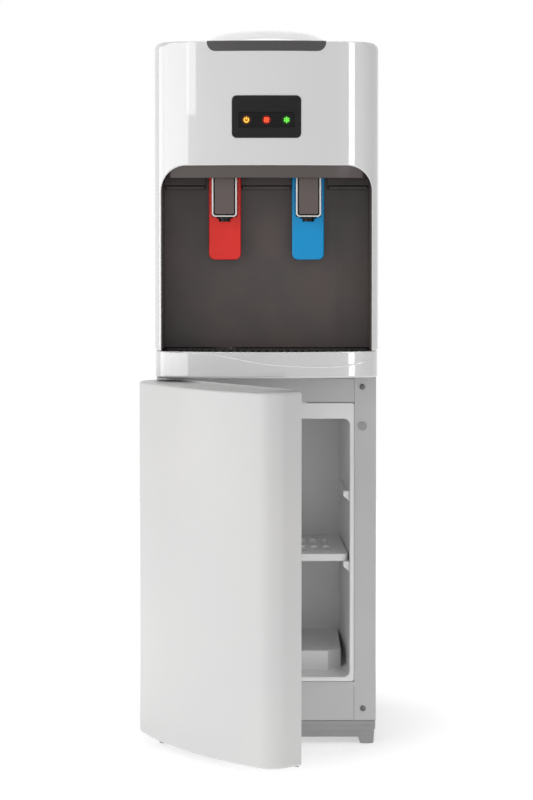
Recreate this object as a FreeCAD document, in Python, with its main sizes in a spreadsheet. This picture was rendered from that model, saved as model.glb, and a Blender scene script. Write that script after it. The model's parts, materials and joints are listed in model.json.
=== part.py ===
import FreeCAD, Part
import math
import os
import re

import Sketcher

# Floor-standing bottled-water cooler with hot and cold taps over a storage cabinet.
# Millimetres. X is to the right, the front faces -Y, Z is up, and the origin lies on
# the floor at the centre of the sheet-metal cabinet. The door is built shut and then
# turned about its hinge to stand ajar.

DIMENSIONS = {
    # cabinet shell
    "cabinet_width": 306.0,
    "cabinet_depth": 240.0,
    "sheet_gauge": 1.0,
    "mould_wall": 3.0,
    "fit_gap": 0.3,
    "column_width": 31.0,
    "back_flange": 12.0,
    "foot_height": 9.0,
    "skirt_top": 19.5,
    "base_top": 33.0,
    "low_rail_top": 88.0,
    "high_rail_bottom": 479.0,
    "high_rail_top": 513.0,
    # curved front, shared by the door, the tray band and the front cover
    "front_reach": 78.0,
    "front_radius": 480.0,
    "corner_radius": 30.0,
    # door
    "door_bottom": 28.0,
    "door_top": 512.0,
    "door_gap": 4.0,
    "door_angle": 52.0,
    "hinge_inset": 10.0,
    "hinge_lead": 13.0,
    "hinge_pin_radius": 4.0,
    "running_gap": 0.05,
    "hinge_boss_height": 14.0,
    # storage liner
    "liner_wall": 2.0,
    "liner_back": 97.0,
    "liner_front_half": 116.5,
    "liner_back_half": 109.0,
    "liner_floor": 94.0,
    "liner_ceiling": 457.0,
    "liner_draft": 6.0,
    "rail_length": 139.0,
    "rail_inner_half": 107.5,
    "lower_rail_z": 256.0,
    "upper_rail_z": 355.0,
    "platform_top": 122.6,
    # dispensing section
    "tray_bottom": 518.0,
    "tray_top": 554.0,
    "arch_top": 808.0,
    "arch_half": 144.5,
    "cover_top": 977.0,
    "recess_back": 85.0,
    "recess_half": 145.5,
    "tap_spacing": 116.0,
    "tap_half": 17.35,
    "tap_bottom": 738.0,
    "tap_front": 152.5,
    "tap_back": 118.0,
    "tap_axis": 137.0,
    "paddle_half": 22.4,
    "paddle_bottom": 678.5,
    "pivot_lead": 112.0,
    "pivot_height": 803.0,
    # control panel
    "panel_half": 46.65,
    "panel_low": 845.7,
    "panel_high": 902.3,
    "window_half": 37.85,
    "window_low": 859.2,
    "window_high": 880.0,
    "light_spacing": 27.3,
    # bottle seat and tanks
    "collar_radius": 92.0,
    "collar_top": 1003.0,
    "throat_radius": 30.0,
    "bottle_lead": 10.0,
    "cold_radius": 50.0,
    "cold_bottom": 770.0,
    "cold_top": 900.0,
    "hot_radius": 42.0,
    "hot_bottom": 530.0,
    "hot_top": 670.0,
    "hot_offset": 62.0,
    "hot_setback": 22.0,
    "fan_height": 835.0,
    "deck_bottom": 518.5,
}

doc = FreeCAD.newDocument("WaterCooler")
sheet = doc.addObject("Spreadsheet::Sheet", "Dims")
for row, (alias, value) in enumerate(DIMENSIONS.items(), start=1):
    sheet.set(f"A{row}", alias)
    sheet.set(f"B{row}", str(value))
    sheet.setAlias(f"B{row}", alias)
doc.recompute()

nodes = {}
UP = FreeCAD.Vector(0, 0, 1)
BACKWARD = FreeCAD.Vector(0, 1, 0)
RIGHTWARD = FreeCAD.Vector(1, 0, 0)


# ---------------------------------------------------------------- helpers
def from_sheet(expression):
    """Writes each sheet alias in an expression the way the document names it."""
    def name_cell(match):
        word = match.group()
        return f"Dims.{word}" if word in DIMENSIONS else word
    return re.sub(r"[a-z_]+", name_cell, str(expression))


def number(expression):
    """The value of an expression, in millimetres or degrees."""
    return float(sheet.evalExpression(from_sheet(expression)))


def bind(item, prop, expression):
    item.setExpression(prop, from_sheet(expression))


def keep(item, label):
    """Marks a document object as one of the finished pieces."""
    item.Label = label
    nodes[label] = item
    return item


# Primitives and booleans
def block(name, x, y, z):
    """A box whose low and high ends along each axis are expressions."""
    box = doc.addObject("Part::Box", name)
    for axis, prop, (low, high) in zip("xyz", ("Length", "Width", "Height"), (x, y, z)):
        bind(box, prop, f"({high}) - ({low})")
        bind(box, f"Placement.Base.{axis}", low)
    return box


def rod(name, radius, start, length, direction=UP):
    """A cylinder from a start point along a direction."""
    cylinder = doc.addObject("Part::Cylinder", name)
    cylinder.Placement.Rotation = FreeCAD.Rotation(UP, direction)
    bind(cylinder, "Radius", radius)
    bind(cylinder, "Height", length)
    for axis, place in zip("xyz", start):
        bind(cylinder, f"Placement.Base.{axis}", place)
    return cylinder


def fused(name, *pieces):
    union = doc.addObject("Part::MultiFuse", name)
    union.Shapes = list(pieces)
    return union


def grouped(name, *pieces):
    """Separate, identical solids kept together."""
    compound = doc.addObject("Part::Compound", name)
    compound.Links = list(pieces)
    return compound


def cut(name, base, *tools):
    result = doc.addObject("Part::Cut", name)
    result.Base = base
    result.Tool = tools[0] if len(tools) == 1 else fused(f"{name}_tools", *tools)
    return result


def common(name, first, second):
    result = doc.addObject("Part::Common", name)
    result.Base = first
    result.Tool = second
    return result


def edges_where(shape, test):
    return [index for index, edge in enumerate(shape.Edges, start=1) if test(edge)]


def runs_along(edge, direction):
    """True for a straight edge parallel to a direction."""
    if not isinstance(edge.Curve, Part.Line):
        return False
    return abs(abs(edge.Curve.Direction.dot(direction)) - 1) < 1e-6


def rounded(name, base, radius, test):
    """A base with the edges that pass a test rounded off."""
    doc.recompute()
    fillet = doc.addObject("Part::Fillet", name)
    fillet.Base = base
    fillet.Edges = [(index, radius, radius) for index in edges_where(base.Shape, test)]
    return fillet


def rounded_prism(name, x, y, z, radius, test=lambda edge: True):
    """A box with its edges along Y rounded, all of them or those that pass a test."""
    box = block(f"{name}_block", x, y, z)
    return rounded(name, box, radius, lambda edge: runs_along(edge, BACKWARD) and test(edge))


# Sketches and bodies
def body_named(label):
    return keep(doc.addObject("PartDesign::Body", label), label)


def sketch_on(body, role, name, offset="0"):
    """A sketch on one of a body's own origin planes, moved along the plane's normal."""
    sketch = body.newObject("Sketcher::SketchObject", f"{body.Name}_{name}")
    plane = next(item for item in body.Origin.OriginFeatures if item.Role == role)
    sketch.AttachmentSupport = (plane, "")
    sketch.MapMode = "FlatFace"
    bind(sketch, "AttachmentOffset.Base.z", offset)
    return sketch


def hold(sketch, name, kind, *arguments, value):
    """A dimension of a sketch, named and bound to an expression."""
    index = sketch.addConstraint(Sketcher.Constraint(kind, *arguments, number(value)))
    sketch.renameConstraint(index, name)
    bind(sketch, f"Constraints.{name}", value)


def polygon(sketch, points):
    """A closed outline whose corners are pairs of expressions."""
    corners = [FreeCAD.Vector(number(x), number(y), 0) for x, y in points]
    count = len(corners)
    first = sketch.GeometryCount
    for index, corner in enumerate(corners):
        sketch.addGeometry(Part.LineSegment(corner, corners[(index + 1) % count]))
    for index, (x, y) in enumerate(points):
        line = first + index
        sketch.addConstraint(
            Sketcher.Constraint("Coincident", line, 2, first + (index + 1) % count, 1))
        hold(sketch, f"x_{line}", "DistanceX", -1, 1, line, 1, value=x)
        hold(sketch, f"y_{line}", "DistanceY", -1, 1, line, 1, value=y)


def circle(sketch, x, y, radius):
    centre = FreeCAD.Vector(number(x), number(y), 0)
    index = sketch.addGeometry(Part.Circle(centre, UP, number(radius)))
    hold(sketch, f"radius_{index}", "Radius", index, value=radius)
    hold(sketch, f"x_{index}", "DistanceX", -1, 1, index, 3, value=x)
    hold(sketch, f"y_{index}", "DistanceY", -1, 1, index, 3, value=y)


def arc_between(centre, radius, start, end):
    return Part.ArcOfCircle(Part.Circle(centre, UP, radius), start, end)


def rounded_rectangle(sketch, x, y, radius):
    """A rectangle with round corners; x and y are pairs of expressions."""
    low_x, high_x, low_y, high_y = (number(value) for value in (*x, *y))
    bend = number(radius)
    first = sketch.GeometryCount
    corners = (
        (high_x - bend, low_y + bend, -90),
        (high_x - bend, high_y - bend, 0),
        (low_x + bend, high_y - bend, 90),
        (low_x + bend, low_y + bend, 180),
    )
    arcs = [
        arc_between(FreeCAD.Vector(cx, cy, 0), bend, math.radians(turn), math.radians(turn + 90))
        for cx, cy, turn in corners
    ]
    for arc, following in zip(arcs, arcs[1:] + arcs[:1]):
        sketch.addGeometry(arc)
        sketch.addGeometry(Part.LineSegment(arc.EndPoint, following.StartPoint))
    for step in range(4):
        arc, line = first + 2 * step, first + 2 * step + 1
        following = first + (2 * step + 2) % 8
        sketch.addConstraint(Sketcher.Constraint("Tangent", arc, 2, line, 1))
        sketch.addConstraint(Sketcher.Constraint("Tangent", line, 2, following, 1))
        direction = "Vertical" if step % 2 == 0 else "Horizontal"
        sketch.addConstraint(Sketcher.Constraint(direction, line))
        if step:
            sketch.addConstraint(Sketcher.Constraint("Equal", first, arc))
    hold(sketch, f"corner_{first}", "Radius", first, value=radius)
    hold(sketch, f"right_{first}", "DistanceX", -1, 1, first + 1, 1, value=x[1])
    hold(sketch, f"top_{first}", "DistanceY", -1, 1, first + 3, 1, value=y[1])
    hold(sketch, f"left_{first}", "DistanceX", -1, 1, first + 5, 1, value=x[0])
    hold(sketch, f"bottom_{first}", "DistanceY", -1, 1, first + 7, 1, value=y[0])


def front_plan(sketch, half_width, inset, back):
    """The bowed front in plan: a long front arc, two round corners and straight sides.

    The inset moves the whole curve inwards from the outer skin, and back is the Y of the
    straight rear edge.
    """
    half, gap = number(half_width), number(inset)
    front = number("front_radius") - gap
    bend = number("corner_radius") - gap
    middle_y = number("front_radius - front_reach - cabinet_depth / 2")
    bend_x = half - bend
    bend_y = middle_y - math.sqrt((front - bend) ** 2 - bend_x ** 2)
    lean = math.atan2(bend_y - middle_y, bend_x)
    rear = number(back)
    middle = FreeCAD.Vector(0, middle_y, 0)
    right = FreeCAD.Vector(bend_x, bend_y, 0)
    left = FreeCAD.Vector(-bend_x, bend_y, 0)
    rear_right = FreeCAD.Vector(half, rear, 0)
    rear_left = FreeCAD.Vector(-half, rear, 0)
    pieces = [
        arc_between(middle, front, -math.pi - lean, lean),
        arc_between(right, bend, lean, 0),
        Part.LineSegment(FreeCAD.Vector(half, bend_y, 0), rear_right),
        Part.LineSegment(rear_right, rear_left),
        Part.LineSegment(rear_left, FreeCAD.Vector(-half, bend_y, 0)),
        arc_between(left, bend, math.pi, math.pi * 2 - math.pi - lean),
    ]
    first = sketch.GeometryCount
    for piece in pieces:
        sketch.addGeometry(piece)
    for step, kind in enumerate(("Tangent", "Tangent", "Coincident", "Coincident", "Tangent", "Tangent")):
        sketch.addConstraint(
            Sketcher.Constraint(kind, first + step, 2, first + (step + 1) % 6, 1))
    sketch.addConstraint(Sketcher.Constraint("Vertical", first + 2))
    sketch.addConstraint(Sketcher.Constraint("Horizontal", first + 3))
    sketch.addConstraint(Sketcher.Constraint("Vertical", first + 4))
    sketch.addConstraint(Sketcher.Constraint("Equal", first + 1, first + 5))
    sketch.addConstraint(Sketcher.Constraint("PointOnObject", first, 3, -2))
    hold(sketch, "front_bend", "Radius", first, value=f"front_radius - ({inset})")
    hold(sketch, "corner_bend", "Radius", first + 1, value=f"corner_radius - ({inset})")
    hold(sketch, "right_side", "DistanceX", -1, 1, first + 2, 2, value=half_width)
    hold(sketch, "rear_edge", "DistanceY", -1, 1, first + 2, 2, value=back)
    hold(sketch, "bend_centre", "DistanceY", -1, 1, first, 3,
         value="front_radius - front_reach - cabinet_depth / 2")


def solid_volume(body):
    doc.recompute()
    return body.Shape.Volume


def pad(body, sketch, length, backwards=False):
    feature = body.newObject("PartDesign::Pad", f"{sketch.Name}_pad")
    feature.Profile = sketch
    feature.Reversed = backwards
    bind(feature, "Length", length)
    return feature


def pocket(body, sketch, length, along_normal=True):
    """Cuts along the sketch's normal, or against it, and checks that material went."""
    before = solid_volume(body)
    feature = body.newObject("PartDesign::Pocket", f"{sketch.Name}_pocket")
    feature.Profile = sketch
    feature.Reversed = along_normal
    bind(feature, "Length", length)
    if solid_volume(body) >= before:
        raise RuntimeError(f"{feature.Name} cuts nothing")
    return feature


def repeat_across(body, feature, sketch, span, count):
    """Repeats a pocket along X, evenly over a span."""
    before = solid_volume(body)
    pattern = body.newObject("PartDesign::LinearPattern", f"{feature.Name}_row")
    pattern.Originals = [feature]
    pattern.Direction = (sketch, ["H_Axis"])
    pattern.Occurrences = count
    bind(pattern, "Length", span)
    body.Tip = pattern
    if solid_volume(body) >= before:
        raise RuntimeError(f"{pattern.Name} cuts nothing")


def revolve(body, sketch):
    """A full turn about the sketch's own vertical axis."""
    feature = body.newObject("PartDesign::Revolution", f"{sketch.Name}_turn")
    feature.Profile = sketch
    feature.ReferenceAxis = (sketch, ["V_Axis"])
    feature.Angle = 360
    return feature


def loft(body, kind, first, second):
    feature = body.newObject(f"PartDesign::{kind}", f"{first.Name}_loft")
    feature.Profile = first
    feature.Sections = [second]
    return feature


def fillet(body, radius, test):
    """Rounds the edges of a body's last feature that pass a test."""
    doc.recompute()
    base = body.Tip
    feature = body.newObject("PartDesign::Fillet", f"{body.Name}_fillet_{len(body.Group)}")
    feature.Base = (base, [f"Edge{index}" for index in edges_where(base.Shape, test)])
    feature.Radius = radius
    return feature


def front_extrusion(name, half_width, inset, back, low, high):
    """The bowed front outline carried up between two heights."""
    outline = doc.addObject("Sketcher::SketchObject", f"{name}_outline")
    front_plan(outline, half_width, inset, back)
    column = doc.addObject("Part::Extrusion", name)
    column.Base = outline
    column.DirMode = "Normal"
    column.Solid = True
    bind(column, "LengthFwd", f"({high}) - ({low})")
    bind(column, "Placement.Base.z", low)
    return column


def front_skin(name, proud, depth, low, high):
    """A curved wall that follows the front arc, from proud of it to a depth behind it."""
    start = ("0", "front_radius - front_reach - cabinet_depth / 2", low)
    rise = f"({high}) - ({low})"
    outer = rod(f"{name}_outer", f"front_radius + ({proud})", start, rise)
    inner = rod(f"{name}_inner", f"front_radius - ({depth})", start, rise)
    return cut(name, outer, inner)


def round_tube(label, radius, points, bend):
    """A solid tube along straight runs with an arc at each corner."""
    corners = [FreeCAD.Vector(*point) for point in points]
    edges = []
    start = corners[0]
    for before, corner, after in zip(corners, corners[1:], corners[2:]):
        into = (corner - before).normalize()
        out = (after - corner).normalize()
        half_turn = into.getAngle(out) / 2
        reach = bend * math.tan(half_turn)
        arc_start = corner - into * reach
        arc_end = corner + out * reach
        inward = (out - into).normalize()
        arc_middle = corner + inward * (bend / math.cos(half_turn) - bend)
        edges.append(Part.LineSegment(start, arc_start).toShape())
        edges.append(Part.Arc(arc_start, arc_middle, arc_end).toShape())
        start = arc_end
    edges.append(Part.LineSegment(start, corners[-1]).toShape())
    path = Part.Wire(edges)
    first_run = corners[1] - corners[0]
    section = Part.Wire(Part.Circle(corners[0], first_run, radius).toShape())
    tube = doc.addObject("Part::Feature", label)
    tube.Shape = path.makePipeShell([section], True, False)
    expected = math.pi * radius ** 2 * path.Length
    if abs(tube.Shape.Volume - expected) > 0.02 * expected:
        raise RuntimeError(f"{label} has lost volume along its path")
    return keep(tube, label)


# ---------------------------------------------------------------- cabinet
def make_base():
    """Moulded base: a rim over a set-back skirt, hollow underneath, on four feet."""
    rim = block("base_rim", ("-cabinet_width / 2", "cabinet_width / 2"),
                ("-cabinet_depth / 2", "cabinet_depth / 2"), ("skirt_top", "base_top"))
    rim = rounded("base_rim_round", rim, 4, lambda edge: runs_along(edge, UP))
    skirt = block("base_skirt", ("3 - cabinet_width / 2", "cabinet_width / 2 - 3"),
                  ("3 - cabinet_depth / 2", "cabinet_depth / 2 - 3"), ("foot_height", "skirt_top"))
    feet = [make_foot(side, end) for side in (-1, 1) for end in (-1, 1)]
    hollow = block("base_hollow", ("10 - cabinet_width / 2", "cabinet_width / 2 - 10"),
                   ("10 - cabinet_depth / 2", "cabinet_depth / 2 - 10"), ("0", "base_top - 4"))
    tray = cut("base_tray", fused("base_solid", rim, skirt), hollow)
    pilot = rod("base_stop_hole", "2.5", ("cabinet_width / 2 - 12", "-cabinet_depth / 2 - 1", "24.5"),
                "8", BACKWARD)
    keep(cut("base_piece", fused("base_on_feet", tray, *feet), pilot), "base")


def make_foot(side, end):
    """A corner foot whose inner sides slope towards the floor."""
    name = f"foot_{side + 1}_{end + 1}"
    wedge = doc.addObject("Part::Wedge", name)
    for prop, value in (
        ("Xmin", "0"), ("Xmax", "24"), ("X2min", "0"), ("X2max", "19"),
        ("Zmin", "0"), ("Zmax", "24"), ("Z2min", "0"), ("Z2max", "19"),
        ("Ymin", "0"), ("Ymax", "skirt_top"),
    ):
        bind(wedge, prop, value)
    # The wedge narrows along its own Y, which is turned to point down.
    quarter_turns = {(-1, -1): 0, (1, -1): 1, (1, 1): 2, (-1, 1): 3}[(side, end)]
    tip_down = FreeCAD.Rotation(RIGHTWARD, -90)
    spin = FreeCAD.Rotation(UP, 90 * quarter_turns)
    wedge.Placement.Rotation = spin.multiply(tip_down)
    bind(wedge, "Placement.Base.x", f"{side} * (cabinet_width / 2 - 1.5)")
    bind(wedge, "Placement.Base.y", f"{end} * (cabinet_depth / 2 - 1.5)")
    bind(wedge, "Placement.Base.z", "skirt_top")
    return wedge


BACK_SCREW_HEIGHTS = (60, 300, 540, 740, 930)


def column_screws(side):
    """X and height of a column's screws; the left ones stand clear of the door's swinging edge."""
    if side > 0:
        return (("cabinet_width / 2 - 19", "501"), ("cabinet_width / 2 - 18", "50"))
    return (("24 - cabinet_width / 2", "501"), ("24 - cabinet_width / 2", "50"))


def plug_place(side):
    """X and height of the plug that closes a column's spare hole."""
    return ("cabinet_width / 2 - 19" if side > 0 else "24.5 - cabinet_width / 2", "446")


def make_side_panel(label, side):
    """A folded steel side: web, front column flange and rear flange."""
    def across(low, high):
        ends = (f"{side} * ({low})", f"{side} * ({high})")
        return ends if side > 0 else (ends[1], ends[0])

    half = "cabinet_width / 2"
    rise = ("base_top + fit_gap", "cover_top - 18")
    web = block(f"{label}_web", across(f"{half} - sheet_gauge", half),
                ("-cabinet_depth / 2", "cabinet_depth / 2"), rise)
    column = block(f"{label}_column", across(f"{half} - column_width + 0.6", half),
                   ("-cabinet_depth / 2", "sheet_gauge - cabinet_depth / 2"), rise)
    rear = block(f"{label}_rear", across(f"{half} - back_flange", half),
                 ("cabinet_depth / 2 - sheet_gauge", "cabinet_depth / 2"), rise)
    folded = fused(f"{label}_folded", web, column, rear)
    above = block(f"{label}_above", across(f"{half} - column_width - 1", f"{half} - 2.6"),
                  ("-cabinet_depth / 2 - 1", "5 - cabinet_depth / 2"), ("tray_bottom - 2", "cover_top"))
    holes = [
        rod(f"{label}_front_hole_{index}", "2.1", (x, "-cabinet_depth / 2 - 2", z), "6", BACKWARD)
        for index, (x, z) in enumerate(column_screws(side))
    ]
    plug_x, plug_z = plug_place(side)
    plug_hole = rod(f"{label}_plug_hole", "4.1", (plug_x, "-cabinet_depth / 2 - 2", plug_z), "6", BACKWARD)
    rear_holes = [
        rod(f"{label}_rear_hole_{z}", "2.1",
            (f"{side} * ({half} - 7)", "cabinet_depth / 2 - 3", z), "6", BACKWARD)
        for z in BACK_SCREW_HEIGHTS
    ]
    keep(cut(f"{label}_piece", folded, above, plug_hole, *holes, *rear_holes), label)


def make_rails():
    """Folded steel rails between the columns, above and below the storage opening."""
    edge = ("0.3 + column_width - 0.6 - cabinet_width / 2", "cabinet_width / 2 - column_width + 0.6 - 0.3")
    face = ("-cabinet_depth / 2", "sheet_gauge - cabinet_depth / 2")
    shelf = ("-cabinet_depth / 2", "18 - cabinet_depth / 2")
    for label, low, high, fold in (
        ("top_rail", "high_rail_bottom + fit_gap", "high_rail_top",
         ("high_rail_top - sheet_gauge", "high_rail_top")),
        ("bottom_rail", "base_top + fit_gap", "low_rail_top - fit_gap",
         ("base_top + fit_gap", "base_top + fit_gap + sheet_gauge")),
    ):
        web = block(f"{label}_web", edge, face, (low, high))
        lip = block(f"{label}_lip", edge, shelf, fold)
        keep(fused(f"{label}_piece", web, lip), label)


def make_back_panel():
    """Rear sheet with a fan grille and holes for the drain, the cord and the switches."""
    plate = block("back_plate", ("3 - cabinet_width / 2", "cabinet_width / 2 - 3"),
                  ("cabinet_depth / 2 + 0.2", "cabinet_depth / 2 + 0.2 + sheet_gauge"),
                  ("base_top + 3", "cover_top - 21"))
    slots = [
        block(f"back_slot_{row}", ("-42", "42"), ("cabinet_depth / 2 - 1", "cabinet_depth / 2 + 3"),
              (f"fan_height - 42 + {12 * row}", f"fan_height - 42 + {12 * row + 5}"))
        for row in range(8)
    ]
    low_slots = [
        block(f"back_low_slot_{row}", ("-60", "60"), ("cabinet_depth / 2 - 1", "cabinet_depth / 2 + 3"),
              (str(500 - 14 * row), str(505 - 14 * row)))
        for row in range(4)
    ]
    start = "cabinet_depth / 2 - 2"
    holes = [
        rod("back_drain_hole", "8.3", ("-hot_offset", start, "hot_bottom + 14"), "6", BACKWARD),
        rod("back_gland_hole", "8.2", ("110", start, "60"), "6", BACKWARD),
    ]
    holes += [
        block(f"back_switch_hole_{index}", ("82.5", "97.5"), (start, "cabinet_depth / 2 + 3"),
              (f"{z} - 10.5", f"{z} + 10.5"))
        for index, z in enumerate(SWITCH_HEIGHTS)
    ]
    holes += [
        rod(f"back_screw_hole_{side + 1}_{z}", "2.1",
            (f"{side} * (cabinet_width / 2 - 7)", start, z), "6", BACKWARD)
        for side in (-1, 1) for z in BACK_SCREW_HEIGHTS
    ]
    keep(cut("back_piece", plate, *slots, *low_slots, *holes), "back_panel")


def screw(name, x, y, z, direction):
    """A pan-head screw: a domed head on the sheet and a shank through it."""
    head = rod(f"{name}_head", "4.2", (x, y, z), "2.2", direction)
    dome = rounded(f"{name}_dome", head, 1.2, lambda edge: outermost_ring(edge, direction))
    shank = rod(f"{name}_shank", "2.0", (x, y, z), "8", direction * -1)
    return fused(name, dome, shank)


def outermost_ring(edge, direction):
    """The rim of a head that lies furthest along a direction."""
    if not isinstance(edge.Curve, Part.Circle):
        return False
    reach = number("cabinet_depth / 2") + 1.9
    return edge.CenterOfMass.dot(direction) > reach


def make_screws():
    front = [
        screw(f"front_screw_{side + 1}_{index}", x, "-cabinet_depth / 2", z, BACKWARD * -1)
        for side in (-1, 1) for index, (x, z) in enumerate(column_screws(side))
    ]
    rear = [
        screw(f"rear_screw_{side + 1}_{z}", f"{side} * (cabinet_width / 2 - 7)",
              "cabinet_depth / 2 + 0.2 + sheet_gauge", str(z), BACKWARD)
        for side in (-1, 1) for z in BACK_SCREW_HEIGHTS
    ]
    keep(grouped("all_screws", *front, *rear), "panel_screws")


def make_plugs():
    """Snap-in plugs that close the spare holes of the two columns."""
    plugs = []
    for side in (-1, 1):
        x, z = plug_place(side)
        head = rod(f"plug_head_{side + 1}", "6", (x, "-cabinet_depth / 2 - 1.4", z), "1.4", BACKWARD)
        stem = rod(f"plug_stem_{side + 1}", "4", (x, "-cabinet_depth / 2", z), "5", BACKWARD)
        plugs.append(fused(f"plug_{side + 1}", head, stem))
    keep(grouped("both_plugs", *plugs), "column_plugs")


def make_liner():
    """One-piece plastic liner: drafted box, front flange, shelf rails and raised floor."""
    body = body_named("cabinet_liner")
    front_y = "-cabinet_depth / 2 + 1.5"

    def section(name, y, half, draft, wall):
        sketch = sketch_on(body, "XZ_Plane", name, f"-({y})")
        rounded_rectangle(sketch, (f"-({half}) - {wall}", f"{half} + {wall}"),
                          (f"liner_floor + {draft} - {wall}", f"liner_ceiling - {draft} + {wall}"),
                          f"7 + {wall}")
        return sketch

    loft(body, "AdditiveLoft", section("outer_front", front_y, "liner_front_half", "0", "liner_wall"),
         section("outer_back", "liner_back", "liner_back_half", "liner_draft", "liner_wall"))
    flange = sketch_on(body, "XZ_Plane", "flange", "cabinet_depth / 2 + 1")
    rounded_rectangle(flange, ("-119.7", "119.7"),
                      ("low_rail_top + fit_gap", "high_rail_bottom - fit_gap"), "3")
    pad(body, flange, "2.5", backwards=True)
    before = solid_volume(body)
    loft(body, "SubtractiveLoft",
         section("inner_front", "-cabinet_depth / 2 - 1", "liner_front_half", "0", "0"),
         section("inner_back", "liner_back - liner_wall", "liner_back_half", "liner_draft", "0"))
    if solid_volume(body) >= before:
        raise RuntimeError("the liner is not hollow")
    rails = sketch_on(body, "XZ_Plane", "rails", "cabinet_depth / 2 - 3")
    for side in (-1, 1):
        for top in ("lower_rail_z", "upper_rail_z"):
            polygon(rails, [
                (f"{side} * rail_inner_half", top),
                (f"{side} * (liner_front_half + 1)", top),
                (f"{side} * (liner_front_half + 1)", f"{top} - 16"),
                (f"{side} * rail_inner_half", f"{top} - 7"),
            ])
    pad(body, rails, "rail_length", backwards=True)
    floor = sketch_on(body, "XY_Plane", "platform", "liner_floor - 1")
    polygon(floor, [("-106", "liner_back - 1"), ("-106", "-56"), ("-87", "-75"),
                    ("87", "-75"), ("106", "-56"), ("106", "liner_back - 1")])
    pad(body, floor, "platform_top - liner_floor + 1")


def make_shelf():
    """Moulded shelf that lies on the lower rails: slotted plate with a front lip."""
    body = body_named("shelf")
    plan = sketch_on(body, "XY_Plane", "plan", "lower_rail_z")
    polygon(plan, [("-114.5", "-112"), ("114.5", "-112"), ("108.6", "81"), ("-108.6", "81")])
    pad(body, plan, "10")
    fillet(body, 9, lambda edge: runs_along(edge, UP) and edge.CenterOfMass.y < 0)
    under = sketch_on(body, "XY_Plane", "underside", "lower_rail_z - 1")
    polygon(under, [("-105.5", "-108"), ("105.5", "-108"), ("103.5", "77"), ("-103.5", "77")])
    pocket(body, under, "8")
    for name, near in (("front_slot", "-78"), ("rear_slot", "-8")):
        slot = sketch_on(body, "XY_Plane", name, "lower_rail_z + 5")
        rounded_rectangle(slot, ("-90", "-80"), (near, f"{near} + 50"), "4.5")
        repeat_across(body, pocket(body, slot, "8"), slot, "170", 11)


# ---------------------------------------------------------------- door
def hinge_point():
    return FreeCAD.Vector(
        number("hinge_inset - cabinet_width / 2"), number("-cabinet_depth / 2 - hinge_lead"), 0)


def stand_ajar(item):
    """Turns a piece that was built on the shut door to the ajar position."""
    item.Placement = FreeCAD.Placement(
        FreeCAD.Vector(), FreeCAD.Rotation(UP, -number("door_angle")), hinge_point())


def make_door():
    """Moulded outer door shell with hinge bosses inside its top and bottom walls."""
    body = body_named("door_shell")
    rear = "-cabinet_depth / 2 - door_gap"
    outer = sketch_on(body, "XY_Plane", "outer", "door_bottom")
    front_plan(outer, "cabinet_width / 2", "0", rear)
    pad(body, outer, "door_top - door_bottom")
    fillet(body, 2.5, lambda edge: on_door_rim(edge))
    inner = sketch_on(body, "XY_Plane", "inner", "door_bottom + mould_wall")
    front_plan(inner, "cabinet_width / 2 - mould_wall", "mould_wall", f"{rear} + 10")
    pocket(body, inner, "door_top - door_bottom - 2 * mould_wall")
    pivot = ("hinge_inset - cabinet_width / 2", "-cabinet_depth / 2 - hinge_lead")
    for name, low in (("low_boss", "door_bottom + mould_wall"),
                      ("high_boss", "door_top - mould_wall - hinge_boss_height")):
        boss = sketch_on(body, "XY_Plane", name, low)
        circle(boss, *pivot, "6.2")
        pad(body, boss, "hinge_boss_height")
    for name, low in (("low_socket", "door_bottom - 1"),
                      ("high_socket", "door_top - mould_wall - hinge_boss_height - 1")):
        socket = sketch_on(body, "XY_Plane", name, low)
        circle(socket, *pivot, "hinge_pin_radius + running_gap")
        pocket(body, socket, "hinge_boss_height + mould_wall + 2")
    fillet(body, 2.4, lambda edge: is_rear_corner(edge))
    stand_ajar(body)


def on_door_rim(edge):
    """The bowed edges at the door's top and bottom, without the straight rear ones."""
    middle = edge.CenterOfMass
    level = abs(middle.z - number("door_top")) < 0.01 or abs(middle.z - number("door_bottom")) < 0.01
    return level and middle.y < number("-cabinet_depth / 2 - door_gap") - 1


def is_rear_corner(edge):
    """The long upright edges where the door's sides meet its rear."""
    middle = edge.CenterOfMass
    at_side = abs(abs(middle.x) - number("cabinet_width / 2")) < 0.01
    at_rear = abs(middle.y - number("-cabinet_depth / 2 - door_gap")) < 0.01
    return runs_along(edge, UP) and at_side and at_rear and edge.Length > 100


def make_door_inner():
    """Flat inner panel that closes the door shell, with a shallow raised field."""
    body = body_named("door_inner_panel")
    half = "cabinet_width / 2 - mould_wall - fit_gap"
    plate = sketch_on(body, "XZ_Plane", "plate", "cabinet_depth / 2 + door_gap + 0.3")
    rounded_rectangle(plate, (f"-({half})", half),
                      ("door_bottom + mould_wall + fit_gap", "door_top - mould_wall - fit_gap"), "4")
    pad(body, plate, "2.3")
    field = sketch_on(body, "XZ_Plane", "field", "cabinet_depth / 2 + door_gap + 0.3")
    rounded_rectangle(field, ("-100", "100"), ("106", "460"), "12")
    pad(body, field, "2", backwards=True)
    stand_ajar(body)


def make_gasket():
    """Magnetic rubber gasket that lands on the liner's flange when the door is shut."""
    body = body_named("door_gasket")
    face = "cabinet_depth / 2 + door_gap + 0.3"
    outer = sketch_on(body, "XZ_Plane", "outer", face)
    rounded_rectangle(outer, ("-119", "119"), ("low_rail_top + 2", "high_rail_bottom - 2"), "6")
    pad(body, outer, "2.9", backwards=True)
    inner = sketch_on(body, "XZ_Plane", "inner", f"{face} + 1")
    rounded_rectangle(inner, ("-109", "109"), ("low_rail_top + 12", "high_rail_bottom - 12"), "4")
    pocket(body, inner, "6", along_normal=False)
    stand_ajar(body)


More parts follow.
